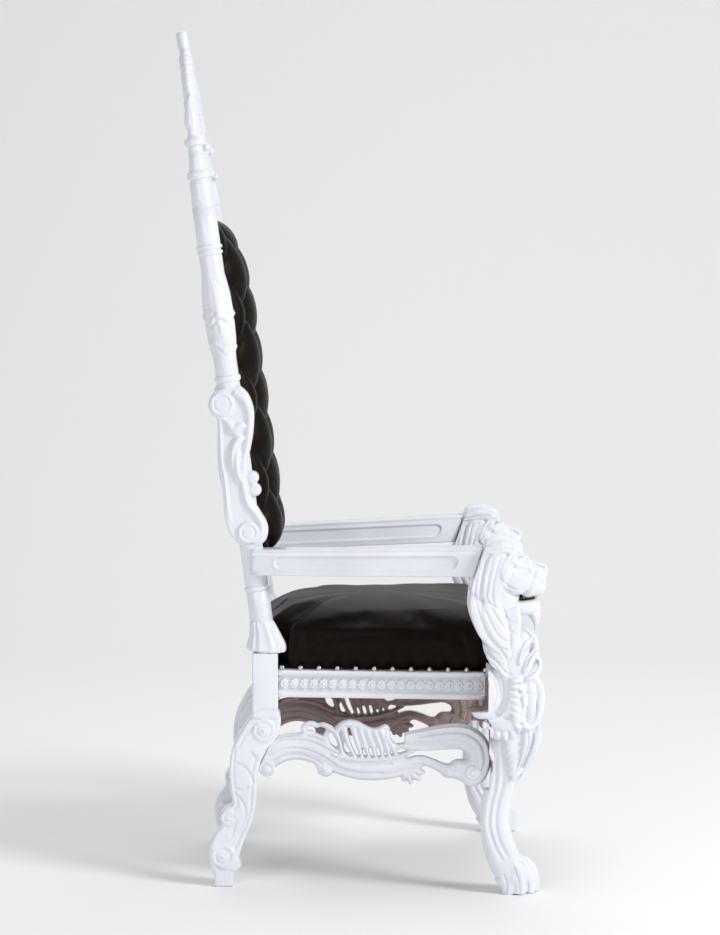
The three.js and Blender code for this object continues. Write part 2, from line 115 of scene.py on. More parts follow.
# `run` goes from 0 to 1 along the floor, to 2 round the bend, and on up the wall, in metres.
FLOOR_START, FLOOR_END, BEND, WALL_RISE, HALF_WIDTH = -9, 3, 2.5, 8, 14
run = np.concatenate([np.linspace(0, 1, 12), 1 + np.linspace(0, 1, 24)[1:], [2.6]])
turn = np.clip(run - 1, 0, 1) * math.pi / 2
sweep_x = np.where(run < 1, FLOOR_START + run * (FLOOR_END - FLOOR_START), FLOOR_END + BEND * np.sin(turn))
sweep_z = np.where(run > 2, BEND + (run - 2) * WALL_RISE, BEND * (1 - np.cos(turn)))
across = np.linspace(-HALF_WIDTH, HALF_WIDTH, 3)
sweep = np.stack(np.broadcast_arrays(sweep_x[:, None], across[None, :], sweep_z[:, None]), -1)
backdrop = link_mesh("backdrop", sweep.reshape(-1, 3), grid_faces(len(run), 3).tolist())
backdrop.data.materials.append(paper)

# Soft boxes: the key high beside the front, a fill low to the rear, one overhead on the far
# side, and a white surround.


def soft_box(name, place, aim, size, watts):
    """A square area light at a place, aimed at a point."""
    lamp = bpy.data.lights.new(name, "AREA")
    lamp.size = size
    lamp.energy = watts
    piece = bpy.data.objects.new(name, lamp)
    piece.location = place
    direction = np.array(aim, float) - np.array(place, float)
    flat = math.hypot(direction[0], direction[1])
    piece.rotation_euler = (math.atan2(flat, -direction[2]), 0.0, math.atan2(-direction[0], direction[1]))
    bpy.context.scene.collection.objects.link(piece)


middle = (0.0, 0.0, 0.9)
soft_box("key_light", (-3.2, -4.6, 3.6), middle, 1.8, 235)
soft_box("fill_light", (-5.0, 2.5, 2.4), middle, 3.0, 55)
soft_box("back_light", (2.2, 0.0, 4.5), middle, 3.0, 45)
world = bpy.data.worlds.new("studio_surround")
bpy.context.scene.world = world
world.use_nodes = True
surround = world.node_tree.nodes["Background"].inputs
surround["Color"].default_value = linear("#FFFFFF")
surround["Strength"].default_value = 0.46
bpy.context.scene.view_settings.view_transform = "Standard"

# ---------------------------------------------------------------- White lacquer
# Sprayed gloss lacquer over sealed hardwood carving. It is a cool white with a clear gloss
# top, faintly rippled where the spray has flowed.
lacquer, tree = new_material("gloss_white_lacquer")
place = add_node(tree, "ShaderNodeTexCoord").outputs["Object"]
cloud = add_node(tree, "ShaderNodeTexNoise", {"Vector": place, "Scale": 9.0, "Detail": 3.0})
tone = add_node(tree, "ShaderNodeValToRGB", {"Fac": cloud.outputs["Fac"]})
tone.color_ramp.elements[0].position = 0.3
tone.color_ramp.elements[0].color = linear("#DDE0E9")
tone.color_ramp.elements[1].position = 0.7
tone.color_ramp.elements[1].color = linear("#E9EBF2")
ripple = add_node(tree, "ShaderNodeTexNoise", {"Vector": place, "Scale": 260.0, "Detail": 2.0})
bump = add_node(tree, "ShaderNodeBump",
                {"Height": ripple.outputs["Fac"], "Strength": 0.06, "Distance": 0.0006})
gloss = add_node(tree, "ShaderNodeBsdfPrincipled", {
    "Base Color": tone.outputs["Color"], "Roughness": 0.34, "IOR": 1.5,
    "Coat Weight": 0.55, "Coat Roughness": 0.09, "Coat IOR": 1.5, "Normal": bump.outputs["Normal"],
})
add_node(tree, "ShaderNodeOutputMaterial", {"Surface": gloss.outputs["BSDF"]})

# ---------------------------------------------------------------- Lion legs
# Head, mane, chest, acanthus knee, fluted leg and paw, carved from one glued-up block of
# hardwood and sprayed. The arm is dowelled into the mane and the seat rails into the knee.
# Carving is worked out in (forward, up, out) millimetres: forward from mid depth.
MID_DEPTH = 4.8  # the frame's origin lies this far forward of mid depth


def curve(points, count):
    """A smooth line through rows of numbers, as `count` rows (Catmull-Rom)."""
    rows = np.asarray(points, float)
    t = np.linspace(0, len(rows) - 1, count)
    i = np.minimum(t.astype(int), len(rows) - 2)
    u = (t - i)[:, None]
    padded = np.vstack([2 * rows[0] - rows[1], rows, 2 * rows[-1] - rows[-2]])
    a, b, c, d = (padded[i + k] for k in range(4))
    return b + 0.5 * u * (c - a + u * (2 * a - 5 * b + 4 * c - d + u * (3 * (b - c) + d - a)))


def unit(vectors):
    """Each row brought to length one."""
    return vectors / np.maximum(np.linalg.norm(vectors, axis=-1, keepdims=True), 1e-9)


def closed_tube(rings):
    """Points and faces of (steps, sides, 3) rings with a fan over each end."""
    steps, sides, _ = rings.shape
    points = np.vstack([rings.reshape(-1, 3), rings[0].mean(0), rings[-1].mean(0)])
    quads = grid_faces(steps, sides, closed=True)
    i = np.arange(sides)
    j = (i + 1) % sides
    first = np.stack([j, i, np.full(sides, steps * sides)], -1)
    last = np.stack([i, j, np.full(sides, steps * sides + 1)], -1)
    last[:, :2] += (steps - 1) * sides
    return points, quads.tolist() + first.tolist() + last.tolist()


def stroke(stations, steps=36, sides=20, ribs=0, depth=0.12, power=2.0):
    """A carved stroke swept along a smooth path. Each station is (forward, up, out, half
    width, half thickness). A section is a superellipse square to the path, its thickness
    towards the side, and its radius swells by depth x cos(ribs x angle) into ridges."""
    rows = curve(stations, steps)
    centre, size = rows[:, :3], np.maximum(rows[:, 3:5], 0.25)
    along = unit(np.gradient(centre, axis=0))
    side = np.array([0.0, 0.0, 1.0])
    thick = unit(side - along * (along @ side)[:, None])
    wide = np.cross(along, thick)
    angle = np.linspace(0, 2 * np.pi, sides, endpoint=False)
    c, s = np.cos(angle), np.sin(angle)
    swell = 1 + depth * np.cos(ribs * angle) if ribs else np.ones(sides)
    u = np.sign(c) * np.abs(c) ** (2 / power) * swell
    v = np.sign(s) * np.abs(s) ** (2 / power) * swell
    rings = (centre[:, None] + wide[:, None] * (size[:, :1] * u)[..., None]
             + thick[:, None] * (size[:, 1:] * v)[..., None])
    return closed_tube(rings)


def slab(outline, low, high, edge=3.0, count=0):
    """A board cut to a closed outline of (forward, up) pairs between two places out from the
    centre, its edges rounded over by a quarter circle of radius `edge`."""
    line = np.asarray(outline, float)
    if count:
        line = curve(np.vstack([line, line[:1]]), count)[:-1]
    tangent = unit(np.roll(line, -1, 0) - np.roll(line, 1, 0))
    inward = np.stack([-tangent[:, 1], tangent[:, 0]], -1)
    area = np.sum(line[:, 0] * np.roll(line[:, 1], -1) - line[:, 1] * np.roll(line[:, 0], -1))
    inward *= np.sign(area)
    rings = []
    for out, inset in ((low, edge), (low + 0.3 * edge, 0.3 * edge), (low + edge, 0),
                       (high - edge, 0), (high - 0.3 * edge, 0.3 * edge), (high, edge)):
        ring = line + inward * inset
        rings.append(np.column_stack([ring, np.full(len(line), out)]))
    n = len(line)
    faces = grid_faces(len(rings), n, closed=True).tolist()
    faces.append(list(range(n - 1, -1, -1)))
    faces.append([i + (len(rings) - 1) * n for i in range(n)])
    return np.vstack(rings), faces


def ball(centre, halves, turn=0.0):
    """An ellipsoid with its half sizes forward, up and out, turned as seen from the side."""
    lat = np.linspace(-np.pi / 2, np.pi / 2, 15)[1:-1, None]
    lon = np.linspace(0, 2 * np.pi, 24, endpoint=False)[None, :]
    rings = np.stack(np.broadcast_arrays(
        np.cos(lat) * np.cos(lon), np.cos(lat) * np.sin(lon), np.sin(lat)), -1)
    points, faces = closed_tube(rings)
    points[-2:] = [[0, 0, -1], [0, 0, 1]]
    points = points * np.asarray(halves, float)
    c, s = math.cos(turn), math.sin(turn)
    forward, up = points[:, 0] * c - points[:, 1] * s, points[:, 0] * s + points[:, 1] * c
    return np.column_stack([forward, up, points[:, 2]]) + np.asarray(centre, float), faces


def placed(points):
    """(forward, up, out) millimetres as metres of the shared frame."""
    forward, up, out = np.asarray(points, float).T
    return np.stack([out, MID_DEPTH - forward, up], -1) / 1000


def reflected(points, faces):
    """A mirrored shape's points with its faces turned back outwards."""
    return points, [face[::-1] for face in faces]


def both_sides(centre, *shapes):
    """The shapes and their mirror images across a plane at `centre` out."""
    result = []
    for points, faces in shapes:
        result += [(points, faces), reflected(points * (1, 1, -1) + (0, 0, 2 * centre), faces)]
    return result


def merged(shapes):
    """Closed shapes put in place as one array of points and one list of faces."""
    points, faces, start = [], [], 0
    for shape_points, shape_faces in shapes:
        points.append(shape_points)
        faces += [[i + start for i in face] for face in shape_faces]
        start += len(shape_points)
    return placed(np.vstack(points)), faces


def carve(name, shapes, voxel, passes):
    """One carved piece from overlapping closed shapes, fused, sanded and lacquered."""
    piece = link_mesh(name, *merged(shapes))
    fused = piece.modifiers.new("fused", "REMESH")
    fused.mode = "VOXEL"
    fused.voxel_size = voxel / 1000 * 1.0
    sanded = piece.modifiers.new("sanded", "SMOOTH")
    sanded.factor = 0.5
    sanded.iterations = passes
    settle(piece)
    piece.data.materials.append(lacquer)
    return piece


def settle(piece):
    """A piece's modifiers applied to its mesh."""
    graph = bpy.context.evaluated_depsgraph_get()
    finished = bpy.data.meshes.new_from_object(piece.evaluated_get(graph))
    piece.modifiers.clear()
    piece.data = finished
    finished.shade_smooth()


def vertices(piece):
    """A piece's points and normals as (forward, up, out) rows, in millimetres."""
    count = len(piece.data.vertices)
    co, normal = np.empty(count * 3), np.empty(count * 3)
    piece.data.vertices.foreach_get("co", co)
    piece.data.vertices.foreach_get("normal", normal)
    x, y, z = co.reshape(-1, 3).T * 1000
    nx, ny, nz = normal.reshape(-1, 3).T
    return np.stack([MID_DEPTH - y, z, x], -1), np.stack([-ny, nz, nx], -1)


V_TOOL, DEEP_V_TOOL, GOUGE = (1.9, 2.6), (1.9, 2.8), (4.6, 3.4)  # width and depth of a cut
SIDELONG = 0.15  # surfaces turned more than this from edge-on are cut at least half deep


def groove(piece, lines, width, depth):
    """Cuts in both side faces of a finished piece, along lines of (forward, up) pairs. Points
    within about `width` of a line sink along their normals by
    depth x exp(-(distance / width)^2), less where the surface turns away from the side."""
    points, normals = vertices(piece)
    flat = points[:, :2]
    seen = np.clip(np.abs(normals[:, 2]) / SIDELONG / 2, 0, 1)
    sink = np.zeros(len(points))
    for line in lines:
        line = np.asarray(line, float)
        path = curve(line, 12 * len(line)) if len(line) > 2 else np.linspace(line[0], line[1], 30)
        low, high = path.min(0) - 3 * width, path.max(0) + 3 * width
        near = np.nonzero(np.all((flat > low) & (flat < high), axis=1))[0]
        if len(near) == 0:
            continue
        gap = np.full(len(near), np.inf)
        for spot in path:
            gap = np.minimum(gap, np.sum((flat[near] - spot) ** 2, axis=1))
        sink[near] = np.maximum(sink[near], np.exp(-gap / width ** 2))
    points = points - normals * (sink * seen * depth)[:, None]
    piece.data.vertices.foreach_set("co", placed(points).ravel())
    piece.data.update()


def mirrored(piece, name):
    """The sitter's right-hand twin of a left-hand piece, its faces turned back outwards."""
    mesh = piece.data.copy()
    co = np.empty(len(mesh.vertices) * 3)
    mesh.vertices.foreach_get("co", co)
    co[0::3] *= -1
    mesh.vertices.foreach_set("co", co)
    mesh.flip_normals()
    mesh.update()
    twin = bpy.data.objects.new(name, mesh)
    bpy.context.scene.collection.objects.link(twin)
    return twin


def pair(piece, name):
    """A left-hand piece and its mirrored twin, standing in for the frame nodes of its name."""
    twin = mirrored(piece, f"carved_{name}_right")
    piece.name = f"carved_{name}_left"
    for side, one in (("left", piece), ("right", twin)):
        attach(one, "root")
        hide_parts(f"{name}_{side}")
    return twin


def thinned(piece, ratio):
    """A finished piece's flatter places redrawn with fewer, larger triangles."""
    fewer = piece.modifiers.new("fewer", "DECIMATE")
    fewer.ratio = ratio
    settle(piece)
    return piece


LION, PAW = 350.0, 321.0
body = [
    # neck and bib, chest, knee, cabriole leg and ankle
    stroke([
        [288, 655, LION, 50, 42], [284, 614, LION, 50, 46], [292, 575, LION, 45, 48],
        [304, 542, LION, 42, 48], [320, 508, LION, 45, 47], [326, 455, 348, 54, 46],
        [326, 395, 344, 51, 43], [320, 330, 338, 43, 32], [306, 264, 332, 33, 25],
        [292, 206, 327, 31, 22], [287, 160, 325, 30, 21], [295, 110, 322, 33, 23],
        [308, 70, 321, 34, 27], [320, 30, 321, 24, 28],
    ], steps=90, sides=44, power=2.7),
    # skull, cheek and muzzle: one tapering block with broad flat sides
    stroke([
        [228, 690, LION, 34, 33], [246, 690, LION, 50, 44], [280, 688, LION, 57, 50],
        [312, 685, LION, 52, 48], [334, 680, LION, 42, 40], [350, 676, LION, 34, 31],
        [368, 671, LION, 29, 26], [384, 668, LION, 24, 21], [390, 668, LION, 19, 16],
    ], steps=50, sides=44, power=2.9),
    # straight bridge of the nose with its flat top and square end
    stroke([
        [326, 722, LION, 6, 20], [346, 713, LION, 6, 13], [366, 706, LION, 6, 12],
        [383, 700, LION, 6, 13], [389, 694, LION, 6, 14], [390, 686, LION, 5, 12],
    ], steps=26, sides=28, power=3.4),
]
# cheekbone, whisker pad, lip, eye and brow
body += both_sides(LION, *[
    ball((371, 656, LION + 12), (19, 19, 14), -0.1),
    ball((352, 662, LION + 18), (24, 26, 16), 0.25),
    ball((322, 672, LION + 34), (34, 30, 15), -0.35),
    ball((337, 702, LION + 28), (9, 5, 7), -0.35),
    stroke([[350, 719, LION + 7, 5, 7], [341, 719, LION + 20, 6, 7], [329, 712, LION + 32, 6, 7],
            [318, 700, LION + 40, 4, 4]], steps=20, power=2.6),
    ball((389, 684, LION + 10), (5, 6, 5)),
])
# lower jaw with its drooping beard, clear of the chest
body += [
    stroke([
        [296, 614, LION, 18, 38], [322, 612, LION, 16, 33], [348, 613, LION, 16, 27],
        [368, 617, LION, 15, 21], [379, 619, LION, 12, 15],
    ], steps=28, sides=32, power=2.8),
    stroke([
        [364, 610, LION, 16, 20], [369, 596, LION, 12, 16], [371, 583, LION, 7, 10],
        [370, 572, LION, 3, 5], [370, 564, LION, 1, 2],
    ], steps=22, sides=28, ribs=5, depth=0.1),
]
# locks of the mane: over the head, swept back from the brow, and down behind the cheek
locks = [
    stroke([
        [341, 737 - 3 * k * k, LION + 6 + 15 * k, 4, 5], [326, 748 - 3 * k * k, LION + 7 + 15 * k, 10, 9],
        [302, 753 - 3 * k * k, LION + 8 + 15 * k, 12, 10], [274, 748 - 3 * k * k, LION + 7 + 15 * k, 12, 9],
        [252, 740 - 3 * k * k, LION + 6 + 15 * k, 8, 6], [240, 730 - 3 * k * k, LION + 6 + 15 * k, 3, 3],
    ], steps=40, sides=28, power=2.5) for k in range(3)
]
locks += [
    # tapering strands that cross the temple from the brow to the jaw
    stroke([[338, 736, LION + 24, 5, 6], [322, 727, LION + 40, 9, 7], [308, 708, LION + 48, 11, 6],
            [300, 686, LION + 51, 8, 5], [298, 664, LION + 50, 3, 2]], steps=34, sides=24, power=2.5),
    # broad flat locks behind the cheek, each tucked under the one before
    stroke([[292, 734, LION + 41, 14, 6], [286, 708, LION + 47, 21, 5], [278, 672, LION + 48, 22, 5],
            [274, 640, LION + 47, 17, 5], [286, 614, LION + 44, 5, 3]], steps=38, sides=28, power=3.0),
    stroke([[260, 728, LION + 35, 14, 5], [254, 700, LION + 42, 18, 5], [246, 664, LION + 43, 17, 5],
            [247, 632, LION + 40, 9, 4]], steps=34, sides=28, power=3.0),
    # bib: three flat locks lapped like a shield, falling to a point over the chest
    stroke([[238, 652, LION + 34, 8, 6], [244, 612, LION + 43, 15, 6], [262, 571, LION + 46, 18, 5],
            [286, 536, LION + 46, 14, 5], [304, 508, LION + 45, 5, 4], [311, 494, LION + 44, 2, 2]],
           steps=44, sides=28, power=3.0),
    stroke([[272, 632, LION + 44, 16, 6], [278, 596, LION + 49, 22, 5], [292, 560, LION + 51, 19, 5],
            [306, 530, LION + 49, 9, 4], [313, 508, LION + 46, 2, 2]], steps=40, sides=28, power=3.0),
    stroke([[318, 616, LION + 38, 16, 6], [320, 588, LION + 46, 18, 6], [320, 556, LION + 49, 13, 5],
            [316, 526, LION + 47, 4, 3]], steps=34, sides=28, power=3.0),
]
body += both_sides(LION, *locks)
# swell of the leg behind the knee, under the seat rail
body.append(stroke([[280, 402, 344, 6, 30], [270, 380, 343, 10, 33], [263, 350, 342, 12, 31],
                    [272, 318, 340, 10, 26], [282, 290, 338, 6, 20]], steps=34, sides=28, power=2.6))
# chest: a leaf rolled over at the front, and small leaves on its sides
body.append(ball((338, 540, LION), (29, 36, 40)))
body.append(stroke([
    [338, 574, LION, 4, 26], [352, 566, LION, 7, 30], [364, 552, LION, 9, 34], [368, 532, LION, 10, 35],
    [368, 506, LION, 11, 35]], steps=30, sides=32, power=2.5))
chest = [
    stroke([[363, 552, LION + 24, 4, 5], [350, 541, LION + 37, 6, 7], [338, 522, LION + 45, 6, 7],
            [332, 498, LION + 47, 3, 4]], steps=28, sides=20),
    stroke([[374, 534, LION + 22, 4, 5], [365, 520, LION + 37, 8, 7], [352, 502, LION + 45, 8, 8],
            [342, 482, LION + 47, 4, 4]], steps=28, sides=24, ribs=4, depth=0.14),
    stroke([[378, 508, LION + 20, 4, 5], [374, 492, LION + 34, 8, 7], [362, 476, LION + 43, 8, 8],
            [346, 466, LION + 47, 4, 4]], steps=28, sides=24, ribs=4, depth=0.14),
    stroke([[264, 560, LION + 34, 3, 4], [274, 532, LION + 40, 6, 6], [292, 506, LION + 43, 6, 6],
            [312, 482, LION + 44, 3, 4]], steps=28, sides=20),
    stroke([[262, 538, LION + 28, 3, 4], [272, 510, LION + 38, 6, 6], [290, 488, LION + 42, 6, 6],
            [306, 472, LION + 44, 3, 3]], steps=28, sides=20),
]
body += both_sides(LION, *chest)
# knee: a smooth disc behind, then ribbed and curled acanthus leaves lapped in front of it
KNEE = 346.0
knee = [
    ball((258, 437, KNEE + 32), (42, 57, 18)),
    stroke([[298, 486, KNEE + 43, 6, 4], [316, 468, KNEE + 45, 11, 5], [321, 438, KNEE + 45, 12, 5],
            [316, 406, KNEE + 43, 11, 5], [296, 384, KNEE + 38, 6, 4]], steps=40, sides=24, power=2.6),
    # stem between the ribs and the curled leaf
    stroke([[334, 472, KNEE + 44, 3, 4], [341, 446, KNEE + 48, 5, 5], [343, 414, KNEE + 46, 5, 5],
            [338, 386, KNEE + 42, 5, 5], [326, 372, KNEE + 38, 3, 3]], steps=30, sides=20),
    # curled leaf: down the front edge, round the bottom and back up inside
    stroke([[352, 474, KNEE + 42, 4, 5], [367, 466, KNEE + 37, 8, 7], [378, 446, KNEE + 29, 9, 8],
            [379, 412, KNEE + 27, 9, 8], [372, 382, KNEE + 29, 9, 8], [357, 365, KNEE + 33, 8, 7],
            [345, 369, KNEE + 38, 6, 6], [345, 384, KNEE + 40, 3, 4]], steps=60, sides=24, power=2.5),
    stroke([[354, 462, KNEE + 43, 4, 4], [360, 438, KNEE + 44, 10, 5], [360, 412, KNEE + 42, 10, 5],
            [357, 390, KNEE + 39, 7, 4], [351, 380, KNEE + 37, 2, 3]], steps=30, sides=24, power=2.5),
    # lobes that close the disc below, in a scalloped row
    stroke([[272, 380, KNEE + 28, 8, 10], [288, 373, KNEE + 34, 15, 10], [312, 370, KNEE + 36, 15, 10],
            [334, 378, KNEE + 36, 10, 8]], steps=20, sides=24, power=2.6),
    ball((264, 364, KNEE + 30), (10, 13, 9), 0.5), ball((275, 355, KNEE + 32), (11, 14, 9), 0.3),
    ball((288, 349, KNEE + 33), (11, 13, 9), 0.1), ball((304, 347, KNEE + 35), (11, 13, 9)),
    ball((319, 353, KNEE + 36), (10, 13, 9)), ball((331, 362, KNEE + 37), (8, 12, 8)),
]
for k in range(7):
    z = 462 - 14 * k
    swing = 4 - 2.6 * k
    out = KNEE + 54 - 1.3 * k
    knee.append(stroke([
        [312, z + 5, out - 3, 2, 2], [322, z + 3, out, 5.5, 4], [332, z + swing, out - 1, 6.2, 4],
        [339, z + swing - 3, out - 4, 3, 3],
    ], steps=18, sides=18))
body += both_sides(KNEE, *knee)
# long acanthus leaf that falls from the knee to a tip above the flutes
SHIN = 338.0
fall = []
for k in range(8):
    z = 352 - 13.5 * k
    out = SHIN + 39 - 2.9 * k
    fall.append(stroke([
        [300 + 2.2 * k, z - 11, out - 4, 2.5, 3], [310 + 2.0 * k, z - 4, out, 6, 4.5],
        [323 + 1.5 * k, z + 5, out, 6.5, 4.5], [334 + 1.1 * k, z + 14, out - 3, 3, 4],
    ], steps=18, sides=18))
fall += [
    stroke([[376, 372, SHIN + 19, 5, 6], [375, 346, SHIN + 21, 9, 8], [368, 318, SHIN + 20, 9, 8],
            [358, 292, SHIN + 16, 8, 7], [346, 266, SHIN + 11, 5, 5], [332, 240, SHIN + 3, 2, 3]],
           steps=44, sides=24, power=2.5),
    stroke([[356, 364, SHIN + 36, 5, 5], [352, 338, SHIN + 37, 10, 5], [346, 312, SHIN + 32, 10, 5],
            [338, 286, SHIN + 25, 8, 4], [329, 256, SHIN + 15, 3, 3]], steps=44, sides=24, power=2.5),
]
body += both_sides(SHIN, *fall)
body.append(stroke([[350, 356, 339, 29, 30], [348, 318, 337, 24, 27], [340, 286, 335, 17, 22],
                    [332, 258, 333, 10, 14], [326, 234, 331, 2, 4]], steps=36, sides=28, power=2.6))
# paw: pastern, heel and four toes fanned so that the outer one is set well back
body += [
    ball((322, 70, PAW), (24, 26, 26), 0.2),
    ball((332, 36, PAW), (34, 36, 31)),
    stroke([[306, 40, PAW, 22, 26], [318, 20, PAW, 20, 29], [326, 2, PAW, 24, 29]], steps=14, power=2.6),
]
for aside, tip in ((-23, 368), (-8, 381), (8, 370), (23, 350)):
    out = PAW + aside
    body += [
        stroke([
            [tip - 48, 70, PAW + 0.6 * aside, 10, 8], [tip - 28, 63, out - 0.2 * aside, 13, 8.6],
            [tip - 13, 44, out, 13, 9], [tip - 10, 22, out, 13, 9.2], [tip - 12, 2, out, 13, 9],
        ], steps=32, sides=24, power=2.2),
        ball((tip - 9, 15, out), (10, 17, 9)),
        stroke([[tip - 6, 19, out, 4.5, 3.5], [tip + 1, 11, out, 3.6, 3], [tip + 1, 2, out, 2, 2]],
               steps=12, sides=12),
    ]
lion = carve("lion_leg_left", body, voxel=2.1, passes=2)


def trim(piece, rule):
    """A finished piece cut off flat: `rule` gives each point's place from its old place."""
    points, _ = vertices(piece)
    piece.data.vertices.foreach_set("co", placed(rule(points)).ravel())
    piece.data.update()


def lion_seams(points):
    """The sole flattened on the floor and the faces where arm, rails and stretcher meet."""
    f, z, out = points.T
    z = np.maximum(z, 0.0)
    f = np.where(z > 655, np.maximum(f, 237.3 + (z - 672) / 3), f)
    f = np.where((z > 396) & (z < 498), np.maximum(f, 269), f)
    f = np.where((z > 225) & (z < 362), np.maximum(f, np.where(out < 346, 279, 273)), f)
    out = np.where((z > 390) & (z < 520), np.maximum(out, 296), out)
    return np.stack([f, z, out], -1)


# long flutes down the leg, cut with a gouge
groove(lion, [
    [(283, 345), (287, 300), (287, 240), (277, 190), (274, 150), (284, 110), (300, 78)],
    [(300, 330), (303, 280), (302, 240), (291, 190), (288, 150), (298, 110), (312, 84)],
], *GOUGE)
# eye sockets, the hollow below the cheekbone and the fold from the nose to the mouth
groove(lion, [[(316, 706), (332, 696), (352, 694)]], 6.5, 6.0)
groove(lion, [
    [(367, 692), (360, 670), (350, 652), (340, 636)], [(300, 656), (316, 646), (334, 640)],
], 4.0, 3.0)
groove(lion, [[(380, 668), (386, 660), (390, 652)]], 3.0, 2.5)
# V-tool lines: brow, cheek and mane
groove(lion, [
    [(346, 710), (366, 704), (386, 697)],
    [(338, 632), (322, 622), (300, 616), (280, 620), (266, 633), (262, 652), (268, 690)],
    [(344, 660), (330, 655), (316, 658), (304, 668), (291, 681)],
    [(292, 722), (284, 700), (278, 672), (275, 646), (280, 622)],
    [(277, 722), (272, 700), (267, 672), (264, 646)],
    [(262, 716), (256, 690), (252, 664), (251, 636)],
    [(248, 706), (243, 682), (240, 660), (240, 640)],
    [(334, 735), (320, 728), (308, 712), (300, 692)],
    [(343, 726), (332, 716), (322, 702), (316, 686)],
    [(244, 741), (268, 745), (292, 751), (318, 752), (336, 744)],
    [(248, 733), (272, 736), (296, 741), (316, 741)],
    [(252, 726), (274, 729), (294, 731), (306, 728)],
], *V_TOOL)
# V-tool lines: bib and chest
groove(lion, [
    [(240, 646), (246, 612), (260, 578), (282, 546), (300, 520), (309, 500)],
    [(250, 600), (268, 560), (290, 536), (308, 530)],
    [(262, 610), (280, 572), (298, 552), (314, 548)],
    [(274, 616), (290, 590), (304, 574), (318, 568)],
    [(290, 616), (302, 600), (314, 590), (326, 588)],
    [(300, 614), (308, 590), (313, 560), (314, 528)],
    [(334, 602), (336, 578), (330, 552), (320, 528), (312, 508)],
    [(363, 552), (350, 541), (342, 528), (336, 508)],
    [(373, 533), (361, 521), (352, 510), (346, 492)],
    [(366, 512), (372, 496), (364, 484), (350, 478)],
    [(258, 548), (272, 532), (290, 520)], [(262, 530), (276, 514), (290, 502)],
    [(266, 508), (280, 498), (290, 484)], [(296, 500), (308, 490), (314, 478)],
], *V_TOOL)
# V-tool lines: rim of the knee's disc, leaf edges and veins, and between the toes
groove(lion, [
    [(268, 493), (286, 484), (298, 462), (300, 436), (294, 408), (272, 384)],
    [(269, 474), (279, 464), (285, 446), (285, 428), (279, 408)],
    [(312, 450), (320, 445), (329, 447), (334, 438), (337, 424), (340, 408)],
    [(344, 442), (352, 437), (360, 439), (367, 443)],
    [(369, 432), (371, 408), (367, 382), (357, 372), (349, 376), (351, 390)],
    [(300, 384), (314, 382), (326, 374), (338, 371)],
    [(266, 366), (264, 356)], [(281, 358), (280, 346)], [(296, 352), (296, 340)], [(312, 354), (313, 342)],
    [(325, 362), (328, 352)],
    [(299, 344), (298, 334), (302, 326), (301, 316), (306, 312), (304, 300), (307, 292), (307, 282),
     (310, 274), (310, 262), (316, 250), (325, 242)],
    [(338, 356), (342, 332), (338, 310), (334, 288), (328, 264)],
    [(352, 352), (354, 332), (349, 308), (342, 286), (334, 262)],
    [(364, 356), (364, 336), (357, 310), (348, 286), (338, 262)],
    [(306, 44), (312, 24), (310, 3)], [(326, 60), (334, 40), (338, 20), (339, 2)],
    [(344, 68), (354, 50), (358, 26), (358, 2)],
], *V_TOOL)
trim(lion, lion_seams)
twin = pair(thinned(lion, 0.52), "lion_leg")

# Painted shade: faces under the seat that turn inward or rearward, where the seat and rails
# shade them, take a dull taupe-brown in place of the white lacquer, grained from rear to front.
painted_shade, tree = new_material("painted_shade_taupe_brown")
place = add_node(tree, "ShaderNodeTexCoord").outputs["Object"]
drawn_out = add_node(tree, "ShaderNodeMapping", {"Vector": place, "Scale": (9.0, 1.0, 9.0)})
fibre = add_node(tree, "ShaderNodeTexNoise", {
    "Vector": drawn_out.outputs["Vector"], "Scale": 26.0, "Detail": 6.0, "Roughness": 0.62,
    "Distortion": 0.5})
tone = add_node(tree, "ShaderNodeValToRGB", {"Fac": fibre.outputs["Fac"]})
tone.color_ramp.elements[0].position = 0.3
tone.color_ramp.elements[0].color = linear("#7E6C69")
tone.color_ramp.elements[1].position = 0.72
tone.color_ramp.elements[1].color = linear("#97847F")
pores = add_node(tree, "ShaderNodeBump", {
    "Height": fibre.outputs["Fac"], "Strength": 0.3, "Distance": 0.0006})
wood = add_node(tree, "ShaderNodeBsdfPrincipled", {
    "Base Color": tone.outputs["Color"], "Roughness": 0.62, "Normal": pores.outputs["Normal"]})
add_node(tree, "ShaderNodeOutputMaterial", {"Surface": wood.outputs["BSDF"]})


def paint_shade_on(piece, in_shade):
    """Painted shade on the faces that the given rule picks by how far they turn inward and
    rearward, and by how far forward, up and out they lie: they take the taupe-brown shade colour."""
    count = len(piece.data.polygons)
    centres, normals = np.empty(count * 3), np.empty(count * 3)
    piece.data.polygons.foreach_get("center", centres)
    piece.data.polygons.foreach_get("normal", normals)
    x, y, z = centres.reshape(-1, 3).T * 1000
    inward = -np.sign(x) * normals[0::3]
    piece.data.materials.append(painted_shade)
    chosen = in_shade(inward, normals[1::3], MID_DEPTH - y, z, np.abs(x))
    piece.data.polygons.foreach_set("material_index", chosen.astype(np.int32))


# painted shade on the leg's rear, and on its inner side as far forward as the front rail, up to the rails'
# top
SHADE_LOW, SHADE_HIGH, SHADE_REAR, SHADE_INNER = 262, 467, 281, 335
for one in (lion, twin):
    paint_shade_on(one, lambda inward, rearward, forward, up, out: (up > SHADE_LOW) & (up < SHADE_HIGH) & (
        (forward < SHADE_REAR) & (rearward > 0.5)
        | (forward < SHADE_INNER) & (out < LION - 4)))

# ---------------------------------------------------------------- Rear legs
# A square block that takes the seat rails, over a scrolled leg sawn to an S from thick
# plank, its volutes and edge moulding carved on both faces, standing on a square pad.
POST = 233.0


def disc(centre, radius, low, high, edge=4.0):
    """A round boss between two places out from the centre."""
    angle = np.linspace(0, 2 * np.pi, 40, endpoint=False)
    circle = np.stack([np.cos(angle), np.sin(angle)], -1) * radius + np.asarray(centre, float)
    return slab(circle, low, high, edge)


